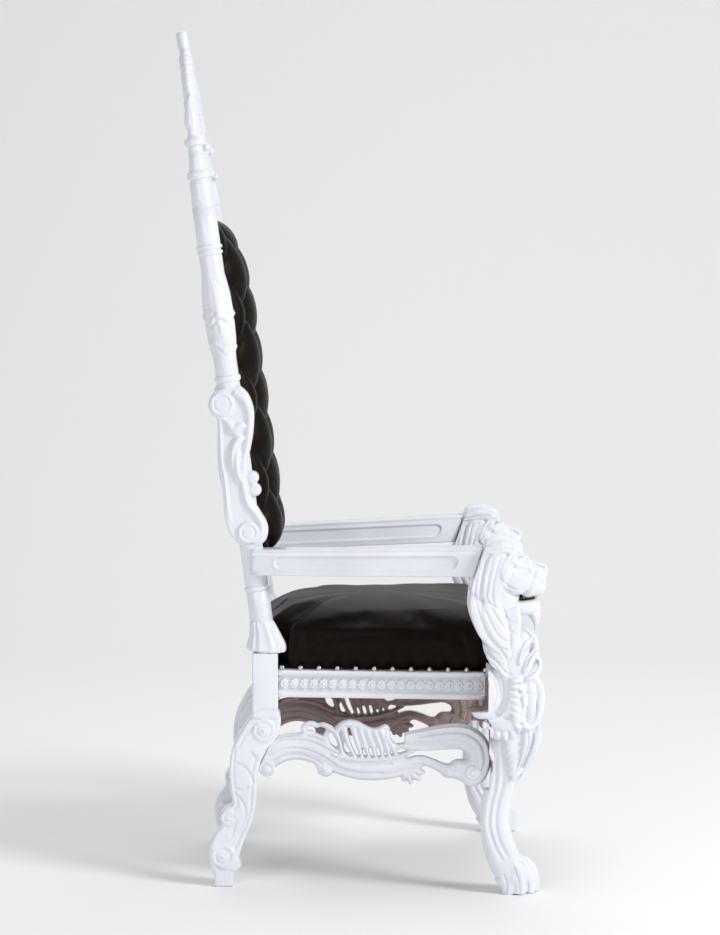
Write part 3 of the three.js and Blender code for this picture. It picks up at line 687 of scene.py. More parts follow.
def ring_line(centre, radius, start=0.0, end=2 * math.pi):
    """Points of a circle or an arc, for a groove."""
    angle = np.linspace(start, end, 24)
    return np.stack([np.cos(angle), np.sin(angle)], -1) * radius + np.asarray(centre, float)


def rectangle(rear, front, low, high):
    """The four corners of an upright rectangle seen from the side."""
    return [(rear, low), (front, low), (front, high), (rear, high)]


leg_outline = [
    (-166, 376), (-164, 352), (-170, 326), (-186, 305), (-200, 290), (-210, 259), (-216, 237),
    (-216, 215), (-218, 176), (-226, 140), (-240, 106), (-252, 72), (-256, 44), (-266, 30),
    (-306, 30), (-317, 57), (-316, 89), (-304, 115), (-292, 130), (-294, 153), (-283, 170),
    (-268, 178), (-272, 205), (-275, 250), (-268, 296), (-249, 336), (-226, 368), (-200, 384),
]
leg = [
    slab(rectangle(-225, -170, 364, 503.6), POST - 27, POST + 27, 1.6),
    slab(leg_outline, POST - 22, POST + 22, 5.0, count=140),
    slab(rectangle(-307, -267, 0, 44), POST - 22, POST + 22, 3.0),
    disc((-200, 338), 25, POST - 26, POST + 26),
    disc((-277, 149), 17, POST - 25, POST + 25),
    disc((-288, 66), 26, POST - 25, POST + 25),
    disc((-264, 48), 14, POST - 23, POST + 23),
    ball((-200, 338, POST), (12, 12, 30)),
    ball((-288, 66, POST), (11, 11, 29)),
]
rear_leg = carve("rear_leg_left", leg, voxel=2.6, passes=2)
groove(rear_leg, [
    ring_line((-200, 338), 16), ring_line((-288, 66), 15.5), ring_line((-277, 149), 9),
    [(-176, 350), (-180, 328), (-192, 312), (-210, 300)],
    [(-220, 282), (-225, 245), (-227, 205), (-229, 172), (-238, 138), (-252, 108), (-264, 82)],
    [(-262, 300), (-266, 250), (-262, 205), (-258, 178), (-266, 160), (-262, 140), (-270, 110)],
    [(-216, 352), (-238, 330), (-256, 298)],
    [(-228, 374), (-200, 382), (-170, 380)],
    [(-262, 268), (-245, 262), (-235, 250), (-225, 235), (-222, 220)],
    [(-260, 212), (-245, 208), (-235, 215)], [(-228, 290), (-221, 280), (-215, 270)],
    [(-256, 196), (-244, 178), (-240, 156), (-246, 134), (-258, 114), (-276, 98), (-294, 92)],
    [(-304, 46), (-290, 34), (-270, 34)],
], 2.4, 3.0)
trim(rear_leg, lambda points: np.maximum(points, (-np.inf, 0.0, -np.inf)))
pair(rear_leg, "rear_leg")

# ---------------------------------------------------------------- Back posts
# Turned columns let into the rear legs' blocks: a carved leaf cuff at the foot, a leaf-cut
# vase, rings and an acorn finial; a carved scroll panel is glued on over each arm.
SLOPE = 0.1365  # rearward lean for each millimetre up
LEAN = math.atan(SLOPE)
POST_FOOT, BLOCK_TOP = -195.5, 504  # the posts' axis, forward and up, where it leaves the block


def leaning(points):
    """(forward, level, out) from the posts' line moved onto the back's lean. Levels are
    true heights on the line itself."""
    forward, level, out = np.asarray(points, float).T
    rise = (level - BLOCK_TOP) / math.cos(LEAN)
    f = POST_FOOT + forward * math.cos(LEAN) - rise * math.sin(LEAN)
    z = BLOCK_TOP + rise * math.cos(LEAN) + forward * math.sin(LEAN)
    return np.stack([f, z, out], -1)


def turned(profile, out, carving, sides=56):
    """A turned column about the back's leaning line from (level, radius) pairs, its radius
    changed by `carving`, which reads the level and the angle round it."""
    rows = np.asarray(profile, float)
    angle = np.linspace(0, 2 * np.pi, sides, endpoint=False)
    radius = rows[:, 1:2] + carving(rows[:, 0:1], angle[None, :])
    rings = np.stack([radius * np.cos(angle), np.broadcast_to(rows[:, 0:1], radius.shape),
                      out + radius * np.sin(angle)], -1)
    points, faces = closed_tube(rings[:, ::-1])
    return leaning(points), faces


def column(stops, step=5.0):
    """A profile of (level, radius) stops filled with straight steps of at most `step`."""
    rows = [stops[0]]
    for (a, ra), (b, rb) in zip(stops, stops[1:]):
        count = max(1, math.ceil((b - a) / step))
        rows += [(a + (b - a) * k / count, ra + (rb - ra) * k / count) for k in range(1, count + 1)]
    return rows


def bead(level, half, radius, swell):
    """A half-round ring on a column, between two fine fillets."""
    t = np.linspace(-1, 1, 9)
    rows = [(level + half * k, radius + swell * math.sqrt(1 - k * k)) for k in t]
    return [(level - half - 0.8, radius - 0.8)] + rows + [(level + half + 0.8, radius - 0.8)]


def leaf_cut(level, angle):
    """Shallow upright leaves round the vase, with a turned-over tip part way up."""
    t = np.clip((level - 1140) / 165, 0, 1)
    body = np.sin(np.pi * t) ** 0.7
    round_leaves = 7 * np.cos(4 * angle)
    veins = 1.3 * np.cos(4 * angle + 0.6) * body + 0.7 * np.cos(12 * angle) * body
    tips = 3.2 * np.exp(-((level - 1214 - round_leaves) / 6) ** 2)
    notch = -3.2 * np.exp(-((level - 1206 - round_leaves) / 3) ** 2)
    low = 2.6 * np.exp(-((level - 1158 + round_leaves) / 5) ** 2)
    return veins + tips + notch + low


SHAFT_R = 24.5
shaft = (
    column([(500, SHAFT_R), (634, SHAFT_R)]) + bead(641, 5, SHAFT_R, 3.2)
    + column([(648, SHAFT_R), (1078, SHAFT_R)]) + bead(1087, 7, SHAFT_R, 3.4)
    + column([(1096, SHAFT_R), (1128, SHAFT_R), (1137, 25)])
    + column([(1140, 25), (1165, 28.5), (1215, 30), (1265, 29), (1308, SHAFT_R)], 2.0)
    + column([(1312, SHAFT_R), (1344, SHAFT_R)]) + bead(1352, 4, SHAFT_R, 2.8) + bead(1364, 4.5, SHAFT_R, 3.2)
    + column([(1372, SHAFT_R), (1448, SHAFT_R)]) + [(1449, 23.4), (1451, 23.4), (1452, 24.4)]
    + column([(1468, 23.6), (1490, 22.6), (1502, 21.6)]) + bead(1515, 9, 20, 6)
    + [(1527, 20), (1534, 19), (1541, 17.2)] + column([(1548, 16.4), (1558, 16)])
    + bead(1561, 1.5, 16, 1) + column([(1565, 15.6), (1572, 15.4)]) + bead(1584, 9, 16, 6.4)
    + [(1594, 14.6), (1600, 11.4), (1608, 10.4), (1612, 11.4), (1617, 14.6), (1624, 15.6),
       (1634, 14.6), (1646, 12), (1658, 8.6), (1668, 5.2), (1675, 1.6)]
)
cuff = [stroke([
    [-196, 505, POST, 38, 28], [-195.5, 512, POST, 42, 31], [-197, 526, POST, 38, 30],
    [-200, 545, POST, 31, 28], [-205, 566, POST, 25, 25], [-206, 574, POST, 22, 22],
], steps=26, sides=72, ribs=14, depth=0.05, power=2.6)]
panel_outline = [
    (-250, 1074), (-232, 1056), (-221, 1029), (-219, 1004), (-221, 973), (-226, 943), (-233, 915),
    (-234, 893), (-232, 862), (-224, 836), (-206, 806), (-193, 783), (-190, 764), (-196, 744),
    (-214, 732), (-240, 731), (-258, 742), (-274, 764), (-283, 800), (-286, 850), (-294, 885),
    (-297, 940), (-297, 1000), (-310, 1012), (-316, 1034), (-304, 1058), (-280, 1068),
]
IN, OUT = POST - 17, POST + 25
panel = [
    slab(panel_outline, IN, OUT, 4.0, count=150),
    disc((-287, 1034), 27, IN - 4, OUT + 6, 6.0),
    disc((-232, 762), 24, IN - 4, OUT + 6, 5.0),
    disc((-223, 878), 14, IN + 6, OUT + 3, 7.0),
    disc((-218, 852), 14, IN + 6, OUT + 3, 7.0),
    # the S-moulding down the front edge, from the top volute to the bottom one
    stroke([[-262, 1060, OUT, 6, 6], [-240, 1044, OUT + 1, 7, 7], [-229, 1018, OUT + 1, 7, 7],
            [-229, 985, OUT + 1, 6.5, 7]]
           + [[f, z, OUT + 1, 6, 6] for f, z in ((-234, 948), (-242, 912), (-244, 880), (-240, 850),
                                                 (-232, 822), (-216, 802), (-204, 780))]
           + [[-206, 756, OUT + 1, 5, 5], [-222, 742, OUT + 1, 5, 5]], steps=90, sides=14),
    # leaf spray in the middle, and the rear moulding
    stroke([[-232, 985, OUT, 3, 3], [-246, 988, OUT + 3, 7, 6], [-262, 980, OUT + 4, 9, 6],
            [-272, 992, OUT + 3, 7, 5], [-286, 1004, OUT, 3, 3]], steps=30, ribs=4, depth=0.18),
    stroke([[-240, 965, OUT, 4, 4], [-252, 958, OUT + 4, 9, 7], [-262, 936, OUT + 4, 9, 7],
            [-264, 908, OUT + 3, 7, 6], [-262, 886, OUT, 3, 3]], steps=34, ribs=5, depth=0.18),
    stroke([[-252, 950, OUT, 4, 4], [-256, 926, OUT + 4, 7, 7], [-256, 900, OUT + 4, 7, 6],
            [-250, 878, OUT + 3, 6, 6], [-238, 864, OUT + 1, 4, 4]], steps=34, ribs=4, depth=0.18),
    stroke([[-291, 1002, OUT - 2, 3, 4], [-290, 960, OUT, 3, 4], [-288, 915, OUT, 3, 4],
            [-281, 870, OUT, 3, 4], [-276, 820, OUT, 3, 4], [-270, 785, OUT - 2, 3, 3]], steps=50),
]


def shape_of(piece):
    """A finished piece's points and faces, taken from it to be joined to others."""
    shape = vertices(piece)[0], [list(face.vertices) for face in piece.data.polygons]
    bpy.data.objects.remove(piece)
    return shape


def joined(name, shapes, finish=lacquer):
    """Closed (forward, up, out) shapes as one object in a finish, with crisp edges between
    them and every face turned outwards."""
    piece = link_mesh(name, *merged(shapes))
    shell = bmesh.new()
    shell.from_mesh(piece.data)
    bmesh.ops.recalc_face_normals(shell, faces=shell.faces)
    shell.to_mesh(piece.data)
    shell.free()
    piece.data.materials.append(finish)
    return piece


scroll_panel = carve("scroll_panel", panel, voxel=2.2, passes=3)
groove(scroll_panel, [
    ring_line((-232, 762), 14), ring_line((-287, 1034), 17),
    [(-262, 742), (-246, 735), (-222, 734)],
], 2.4, 2.2)
leaf_cuff = carve("leaf_cuff", cuff, voxel=2.0, passes=2)
trim(leaf_cuff, lambda points: np.maximum(points, (-np.inf, BLOCK_TOP + 0.4, -np.inf)))
post = joined("back_post_left",
              [shape_of(scroll_panel), shape_of(leaf_cuff), turned(shaft, POST, leaf_cut)])
groove(post, [
    [(-322, 1236), (-310, 1232), (-302, 1222)], [(-318, 1206), (-304, 1208), (-298, 1214), (-290, 1210)],
    [(-284, 1206), (-274, 1204), (-264, 1206)], [(-300, 1294), (-292, 1286), (-282, 1278)],
    [(-300, 1160), (-290, 1148), (-280, 1140), (-270, 1156)], [(-296, 1200), (-288, 1176), (-284, 1150)],
], 1.7, 2.0)
pair(thinned(post, 0.6), "back_post")

# ---------------------------------------------------------------- Arms
# A squared bar tenoned into the post and dowelled into the lion's mane, with a sunk panel
# run along each face and its edges eased.


def rounded_square(straight=26, bend=7, radius=0.09):
    """Points round a unit square whose corners are quarter circles, most of them straight."""
    line = np.linspace(-1 + radius, 1 - radius, straight)[:-1]
    arc = np.linspace(0, np.pi / 2, bend)[:-1]
    sides = []
    for k in range(4):
        edge = np.stack([np.ones_like(line), line], -1)
        corner = 1 - radius + radius * np.stack([np.cos(arc), np.sin(arc)], -1)
        c, s = math.cos(k * math.pi / 2), math.sin(k * math.pi / 2)
        sides.append(np.vstack([edge, corner]) @ np.array([[c, s], [-s, c]]))
    return np.vstack(sides)


def arm_bar(rear=-227.0, front=247.0, steps=200):
    """A bar of rounded square sections whose centre, width and height run evenly from rear
    to front. On its side faces a panel with half-round ends is sunk 3 mm within a bead, and
    a fillet runs along under the top edge."""
    t = np.linspace(0, 1, steps)[:, None]
    u, v = rounded_square().T[:, None, :]
    half_wide, half_high = 24 + 6 * t, 27.5 + 3.3 * t
    f = rear + (front - rear) * t + 0 * u
    up = v * half_high
    beyond = np.maximum(np.abs(f - 14) - 178, 0)
    distance = np.hypot(beyond, np.abs(up + 1)) - 13
    sunk = 3.2 / (1 + np.exp(distance / 0.6)) - 1.5 * np.exp(-((distance - 2.4) / 1.3) ** 2)
    fillet = 1.5 * np.exp(-((up - 0.74 * half_high) / 1.3) ** 2)
    face = np.abs(u) > 0.999
    out = 245 + 100 * t + u * half_wide - np.sign(u) * (sunk + fillet) * face
    slant = up / 3 * t ** 6
    rings = np.stack([f + slant, 698.5 + 11 * t + up, out], -1)
    return closed_tube(rings)


arm = joined("arm_left", [arm_bar()])
pair(thinned(arm, 0.35), "arm")

# ---------------------------------------------------------------- Side stretchers
# Pierced scrollwork sawn from plank and carved on both faces: ridged bands that roll into
# volutes, a fan of shell ribs over a bowl, and small leaves. Splayed out with the seat.
ridged = {"ribs": 8, "depth": 0.09, "power": 3.0, "sides": 48}
stretcher = [
    # rear band, rising from the leg and falling into the bowl
    stroke([[-214, 252, 0, 22, 15], [-192, 277, 0, 25, 17], [-160, 297, 0, 27, 17],
            [-125, 302, 0, 27, 17], [-92, 295, 0, 27, 16], [-62, 281, 0, 25, 15],
            [-34, 268, 0, 24, 15], [0, 260, 0, 24, 16], [35, 259, 0, 24, 16],
            [70, 263, 0, 23, 16], [98, 268, 0, 18, 14], [120, 276, 0, 8, 12]], steps=110, **ridged),
    # rim of the bowl
    stroke([[-74, 300, 0, 4, 12], [-48, 286, 0, 5, 17], [-15, 280, 0, 5, 19], [25, 279, 0, 5, 19],
            [60, 282, 0, 5, 18], [92, 290, 0, 5, 16], [118, 300, 0, 4, 12]], steps=60),
    # front scroll: over the top, round the end and into its bulb
    stroke([[98, 322, 0, 15, 12], [125, 323, 0, 20, 15], [155, 327, 0, 23, 17],
            [190, 332, 0, 25, 18], [222, 331, 0, 26, 18], [248, 315, 0, 25, 18],
            [256, 288, 0, 23, 18], [252, 262, 0, 21, 17], [238, 250, 0, 18, 16]], steps=110, **ridged),
    ball((240, 257, 0), (33, 30, 20)), ball((214, 268, 0), (22, 17, 15)),
    stroke([[92, 308, 0, 5, 10], [120, 305, 0, 5, 15], [152, 306, 0, 5, 17], [184, 309, 0, 5, 17],
            [204, 309, 0, 4, 14]], steps=40),
    # C band under the gap, its leaf, and the small knobs
    stroke([[90, 262, 0, 10, 12], [110, 274, 0, 11, 13], [132, 280, 0, 10, 13], [156, 274, 0, 10, 13],
            [178, 264, 0, 11, 13], [200, 258, 0, 14, 13], [220, 252, 0, 14, 14]], steps=60,
           ribs=5, depth=0.1, sides=30),
    ball((190, 258, 0), (16, 16, 16)),
    disc((-195, 254), 18, -17, 17, 6.0),
    ball((-195, 252, 0), (17, 15, 20)), ball((-69, 254, 0), (18, 16, 18)),
    stroke([[-88, 284, 0, 14, 14], [-76, 264, 0, 15, 15], [-70, 247, 0, 15, 14]], steps=14, power=3.0),
]
# lower leaf cluster between bowl and C band
for tip, size in (((96, 232), 8), ((113, 227), 8), ((132, 236), 8), ((142, 252), 8), ((140, 270), 7)):
    stretcher.append(stroke([
        [100, 264, 0, 5, 10], [0.5 * (100 + tip[0]), 0.5 * (262 + tip[1]), 0, size, 13],
        [*tip, 0, 3, 7]], steps=16, ribs=4, depth=0.14))
# shell: ribs that fan up and back from the bowl, open between, under a scalloped edge
fan = [
    ((-4, 280), (-20, 310), (-30, 344)), ((10, 280), (-1, 312), (-12, 350)),
    ((24, 280), (14, 312), (3, 348)), ((38, 282), (30, 312), (18, 342)),
    ((52, 284), (46, 312), (34, 341)), ((66, 286), (60, 310), (48, 342)),
    ((80, 290), (72, 308), (58, 334)),
]
for foot, middle, tip in fan:
    stretcher.append(stroke([
        [*foot, 0, 4.0, 12], [*middle, 0, 5.6, 15], [*tip, 0, 7.4, 15]], steps=26, sides=16))
stretcher += [
    # web left between the upper parts of the ribs, and the arched rim over them
    slab([(-10, 350), (-6, 318), (2, 303), (22, 305), (50, 306), (84, 300), (82, 312), (70, 322),
          (62, 342), (30, 338), (10, 346)], -10, 10, 3.0),
    stroke([[-46, 322, 0, 5, 9], [-42, 343, 0, 7, 13], [-24, 354, 0, 8, 15], [-4, 353, 0, 8, 15],
            [14, 345, 0, 7, 13], [30, 340, 0, 6, 12], [46, 343, 0, 6, 12], [58, 350, 0, 5, 10],
            [66, 344, 0, 3, 6]], steps=60),
    stroke([[60, 348, 0, 4, 8], [64, 334, 0, 5, 10], [60, 322, 0, 3, 6]], steps=14),
    stroke([[46, 296, 0, 4, 10], [74, 306, 0, 6, 12], [104, 312, 0, 5, 12]], steps=20),
    # stem and leaf loops at the rear of the shell
    stroke([[-20, 274, 0, 5, 12], [-34, 294, 0, 6, 13], [-38, 312, 0, 6, 13], [-44, 328, 0, 6, 12],
            [-58, 342, 0, 6, 11], [-76, 350, 0, 5, 9], [-88, 346, 0, 3, 6]], steps=50, ribs=4, depth=0.14),
    stroke([[-84, 346, 0, 5, 8], [-98, 352, 0, 6, 9], [-112, 349, 0, 5, 9], [-117, 340, 0, 5, 8],
            [-108, 333, 0, 5, 8], [-94, 334, 0, 4, 7]], steps=36),
    stroke([[-132, 326, 0, 4, 8], [-118, 328, 0, 5, 9], [-104, 330, 0, 5, 9], [-86, 326, 0, 5, 9],
            [-70, 318, 0, 5, 9], [-60, 306, 0, 5, 9], [-48, 296, 0, 6, 11], [-34, 298, 0, 4, 8]], steps=46),
    stroke([[-60, 340, 0, 4, 7], [-68, 330, 0, 5, 8], [-66, 318, 0, 4, 7]], steps=14),
]


REAR_LINE, LEG_GAP, SPLAY = -200, 479, 86.0  # from the rear legs: forward, and out over that


def stretcher_seams(points):
    """Ends cut to bear on the rear leg and on the lion leg, then the stretcher splayed: out
    grows evenly from the rear legs to the front ones."""
    f, z, out = points.T
    edge = np.interp(z, [190, 215, 258, 312, 331], [-215.4, -215.4, -210.4, -184.4, -178])
    f = np.clip(f, edge, 278.6)
    return np.stack([f, z, out + POST + SPLAY * (f - REAR_LINE) / LEG_GAP], -1)


stretcher = carve("stretcher_left", stretcher, voxel=2.2, passes=2)
groove(stretcher, [
    ring_line((241, 258), 17, 0.5, 5.6), ring_line((241, 258), 8, 1.0, 5.0), ring_line((-195, 252), 11),
    [(-222, 300), (-212, 290), (-204, 276)],
    [(-190, 300), (-160, 316), (-120, 318), (-90, 312), (-66, 300), (-44, 290)],
    [(-190, 282), (-160, 297), (-120, 300), (-88, 290), (-62, 276), (-40, 262), (0, 252), (50, 252)],
    [(-180, 270), (-158, 282), (-122, 286), (-92, 276), (-78, 268)],
    [(-60, 290), (-50, 284), (-40, 294)], [(-40, 274), (-10, 268), (30, 268), (70, 274)],
    [(118, 318), (150, 322), (190, 326), (222, 326), (243, 312), (250, 288), (246, 268)],
    [(130, 332), (160, 338), (196, 343), (228, 341), (256, 322), (266, 290), (260, 262)],
], *DEEP_V_TOOL)
trim(stretcher, stretcher_seams)
twin = pair(thinned(stretcher, 0.6), "side_stretcher")
# painted shade on the stretchers' faces that turn inward, under the seat
for one in (stretcher, twin):
    paint_shade_on(one, lambda inward, *others: inward > 0.3)

# ---------------------------------------------------------------- Side rails
# Moulded rails let into the rear blocks and the lion legs: a fillet above and below a sunk
# band, and a row of carved rosettes with a pearl between each two.
RAIL_REAR, RAIL_RUN, RAIL_OUT, RAIL_SPLAY = -170, 439, 254, 50
ROSETTES, BAND_MIDDLE = 21, 437.8


def rail_face(forward):
    """How far out the side rail's face stands, from its rear end to its front one."""
    return RAIL_OUT + RAIL_SPLAY * (forward - RAIL_REAR) / RAIL_RUN


def rail_bar():
    """The rail's moulded section drawn out from the rear block to the lion leg."""
    profile = np.array([
        (-34, 409), (-2, 409), (-1, 409.3), (0, 410.5), (0, 418), (-0.8, 420), (-3, 421.4), (-6, 422),
        (-6.3, 436), (-6, 453.4), (-3, 454), (-0.6, 455.6), (0, 457.6), (1.6, 459), (2.4, 461),
        (2.4, 465.4), (1.6, 467), (-34, 467),
    ])
    f = np.linspace(-169.6, 268.6, 40)[:, None]
    rings = np.stack(np.broadcast_arrays(f, profile[:, 1], rail_face(f) + profile[:, 0]), -1)
    return closed_tube(rings)


def rosette(forward, up, out):
    """A round boss turned about the outward direction: a ring of petals round a button."""
    radius = np.array([0, 2.2, 3.4, 4.2, 6.4, 8.2, 9.4, 9.8])
    height = np.array([5.4, 4.8, 3.2, 2.4, 4.2, 3.8, 1.4, -2.0])
    angle = np.linspace(0, 2 * np.pi, 32, endpoint=False)
    petals = 1 + 0.09 * np.cos(8 * angle)[None, :] * (radius[:, None] > 5)
    rings = np.stack([forward + radius[:, None] * petals * np.cos(angle),
                      up + radius[:, None] * petals * np.sin(angle) * 1.12,
                      out + np.broadcast_to(height[:, None], petals.shape)], -1)
    return closed_tube(rings[::-1])


rail = [rail_bar()]
for k in range(ROSETTES):
    forward = -166 + (k + 0.5) * 431 / ROSETTES
    rail.append(rosette(forward, BAND_MIDDLE, rail_face(forward) - 6))
    if k < ROSETTES - 1:
        pearl = forward + 10.3
        rail.append(ball((pearl, BAND_MIDDLE, rail_face(pearl) - 6), (1.8, 3.4, 3.0)))
pair(joined("side_rail_left", rail), "side_rail")

# ---------------------------------------------------------------- Front and rear rails
# The front rail runs between the lions and is carved in keeping with the sides: a plain
# moulded bar with a scrolled apron and a small shell. The rear rail is a plain bar.
front_half = 295.4
apron = [
    (-front_half, 410), (-front_half, 374), (-262, 372), (-230, 380), (-196, 382), (-160, 373),
    (-126, 356), (-95, 346), (-70, 346), (-45, 338), (-22, 324), (0, 319),
]
apron += [(-x, z) for x, z in apron[-2::-1]] + [(front_half, 440), (-front_half, 440)]


def front_shapes(*shapes):
    """Shapes drawn as (right, up, forward) turned into (forward, up, out), kept outwards."""
    return [reflected(points[:, ::-1], faces) for points, faces in shapes]


def two_fold(*shapes):
    """Shapes drawn facing the front, and their mirror images across the middle."""
    result = []
    for points, faces in shapes:
        result += [(points, faces), reflected(points * (-1, 1, 1), faces)]
    return result


apron_shapes = [
    slab(apron, 299, 321, 3.0),
    slab([(-front_half, 404), (front_half, 404), (front_half, 466.6), (-front_half, 466.6)], 297, 333, 2.0),
    stroke([[-front_half, 458, 333, 5, 4], [front_half, 458, 333, 5, 4]], steps=40),
    stroke([[-front_half, 415, 333, 5, 4], [front_half, 415, 333, 5, 4]], steps=40),
    ball((0, 352, 322), (16, 16, 10)),
]
for k in range(-3, 4):
    angle = 0.38 * k
    apron_shapes.append(stroke([
        [6 * math.sin(angle), 344, 322, 3, 4],
        [26 * math.sin(angle), 340 + 28 * math.cos(angle), 326, 6, 7],
        [46 * math.sin(angle), 340 + 50 * math.cos(angle), 322, 7, 6]], steps=18, sides=14))
apron_shapes += two_fold(
    stroke([[-14, 330, 321, 6, 6], [-52, 348, 323, 8, 7], [-92, 358, 324, 8, 7], [-128, 372, 323, 8, 7],
            [-150, 390, 322, 7, 6], [-140, 402, 321, 6, 5], [-124, 396, 321, 5, 5]], steps=70,
           ribs=4, depth=0.14),
    stroke([[-70, 360, 321, 4, 4], [-92, 376, 323, 8, 6], [-108, 390, 322, 6, 5]], steps=24,
           ribs=4, depth=0.16),
    stroke([[-150, 380, 321, 5, 5], [-190, 392, 323, 8, 7], [-232, 390, 323, 8, 7], [-268, 382, 322, 7, 6],
            [-282, 394, 321, 6, 5], [-270, 402, 321, 5, 4]], steps=60, ribs=4, depth=0.14),
)
front_rail = carve("front_rail_carved", front_shapes(*apron_shapes), voxel=2.8, passes=3)
trim(front_rail, lambda points: np.clip(points, (-np.inf, 0, -front_half), (np.inf, 466.7, front_half)))
# painted shade on the front rail's rear faces and on its faces behind the apron's front, under the seat
paint_shade_on(front_rail, lambda inward, rearward, forward, *others: (rearward > 0.3) | (forward < 312))
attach(front_rail, "root")
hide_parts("front_rail")

rear_rail = carve("rear_rail_plain", [
    slab(rectangle(-215.6, -184.4, 409, 467), -205.4, 205.4, 2.5)], voxel=3.2, passes=2)
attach(rear_rail, "root")
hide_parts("rear_rail")

# ---------------------------------------------------------------- Crest
# Glued to the posts' line above the back: scrolls and acanthus stepping up to a palmette,
# pierced between, about 28 mm thick, carved deep in front and left plainer behind.


def on_back(*shapes):
    """Shapes drawn as (right, level, forward) on the leaning back, in place."""
    return [reflected(leaning(points[:, ::-1]), faces) for points, faces in shapes]


crest = [
    slab([(-205, 1427), (205, 1427), (205, 1462), (-205, 1462)], -14, 14, 4.0),
    slab([(-40, 1455), (40, 1455), (46, 1560), (34, 1700), (0, 1740), (-34, 1700), (-46, 1560)], -10, 9, 4.0,
         count=80),
    stroke([[-208, 1446, 12, 6, 6], [0, 1446, 12, 6, 6], [208, 1446, 12, 6, 6]], steps=60),
    ball((0, 1600, 6), (20, 26, 12)),
    ball((0, 1540, 8), (16, 20, 10)),
    # the tip: a blunt leaf, thick from front to back
    stroke([[0, 1740, 3, 14, 11], [0, 1775, 1, 20, 12], [0, 1808, -1, 19, 13], [0, 1829, -2, 16, 12]],
           steps=26, ribs=6, depth=0.06, power=2.8),
]
for k in range(-3, 4):
    angle = 0.3 * k
    length = 128 - 9 * abs(k)
    crest.append(stroke([
        [10 * math.sin(angle), 1600, 6, 6, 6],
        [0.5 * length * math.sin(1.25 * angle), 1600 + 0.5 * length * math.cos(angle), 9, 11, 9],
        [length * math.sin(1.35 * angle), 1600 + length * math.cos(angle), 5, 11, 9],
        [1.12 * length * math.sin(1.5 * angle), 1600 + 1.1 * length * math.cos(angle), -4, 5, 6],
    ], steps=34, ribs=4, depth=0.12))
crest += two_fold(
    # side scrolls, stepping down to the posts
    stroke([[30, 1700, 0, 9, 11], [52, 1742, 0, 12, 13], [40, 1772, 0, 11, 13], [22, 1764, 0, 8, 11],
            [26, 1748, 0, 5, 8]], steps=50, ribs=4, depth=0.1),
    stroke([[40, 1640, 0, 12, 12], [74, 1672, 0, 14, 13], [100, 1702, 0, 13, 13], [92, 1730, 0, 11, 12],
            [72, 1726, 0, 8, 11], [76, 1710, 0, 5, 8]], steps=60, ribs=4, depth=0.1),
    stroke([[44, 1560, 0, 14, 12], [90, 1590, 0, 15, 13], [132, 1624, 0, 14, 13], [142, 1660, 0, 13, 13],
            [120, 1676, 0, 10, 12], [104, 1658, 0, 7, 10]], steps=60, ribs=4, depth=0.1),
    stroke([[50, 1490, 0, 16, 12], [100, 1510, 0, 17, 13], [150, 1542, 0, 15, 13], [184, 1584, 0, 13, 13],
            [176, 1622, 0, 12, 12], [154, 1620, 0, 8, 11], [154, 1602, 0, 5, 8]], steps=70,
           ribs=4, depth=0.1),
    stroke([[100, 1452, 0, 14, 12], [150, 1470, 0, 16, 13], [190, 1500, 0, 14, 12], [204, 1534, 0, 9, 11],
            [200, 1552, 0, 5, 8]], steps=50, ribs=4, depth=0.1),
    # beads on the front near the posts
    ball((186, 1572, 20), (9, 9, 10)), ball((190, 1516, 22), (10, 10, 10)),
    # leaves between the scrolls
    stroke([[60, 1600, 4, 6, 8], [84, 1630, 9, 11, 8], [112, 1644, 6, 6, 6]], steps=24, ribs=5, depth=0.14),
    stroke([[70, 1520, 4, 6, 8], [104, 1552, 9, 12, 8], [140, 1572, 6, 6, 6]], steps=24, ribs=5, depth=0.14),
    stroke([[96, 1470, 6, 6, 8], [136, 1494, 10, 12, 8], [176, 1520, 6, 6, 6]], steps=24, ribs=5, depth=0.14),
    stroke([[30, 1470, 8, 6, 6], [34, 1510, 12, 9, 7], [22, 1556, 10, 8, 6], [10, 1580, 8, 5, 5]],
           steps=30, ribs=5, depth=0.14),
)
crest = carve("crest_carved", on_back(*crest), voxel=2.5, passes=3)


HOUSING = 27.6  # radius of the hollows cut for the posts


def post_line(up):
    """How far forward the posts' axis stands at a height."""
    return -210 - (up - 611) * SLOPE


def clear_of_posts(points):
    """A piece of the back cut hollow where it meets the round posts."""
    f, z, out = points.T
    middle = post_line(z)
    side = np.abs(out) - POST
    away = np.hypot(side, f - middle)
    pull = np.where((away < HOUSING) & (z < 1640), HOUSING / np.maximum(away, 1), 1.0)
    return np.stack([middle + (f - middle) * pull, z, np.sign(out) * (POST + side * pull)], -1)


groove(crest, [[(post_line(z) - 24, z - 2), (post_line(z) + 24, z + 2)]
               for z in (1643, 1680, 1705, 1740, 1757, 1790)], *V_TOOL)
trim(crest, clear_of_posts)
thinned(crest, 0.6)
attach(crest, "root")
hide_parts("back_crest")

# ---------------------------------------------------------------- Lower rail of the back
# A plain bar with eased edges between the posts; the upholstered back stands on it.
low_rail = carve("lower_rail_plain", on_back(
    slab([(-204, 641.5), (204, 641.5), (204, 694.5), (-204, 694.5)], -15, 15, 3.0)), voxel=3.2, passes=2)
trim(low_rail, clear_of_posts)
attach(low_rail, "root")
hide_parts("back_lower_rail")

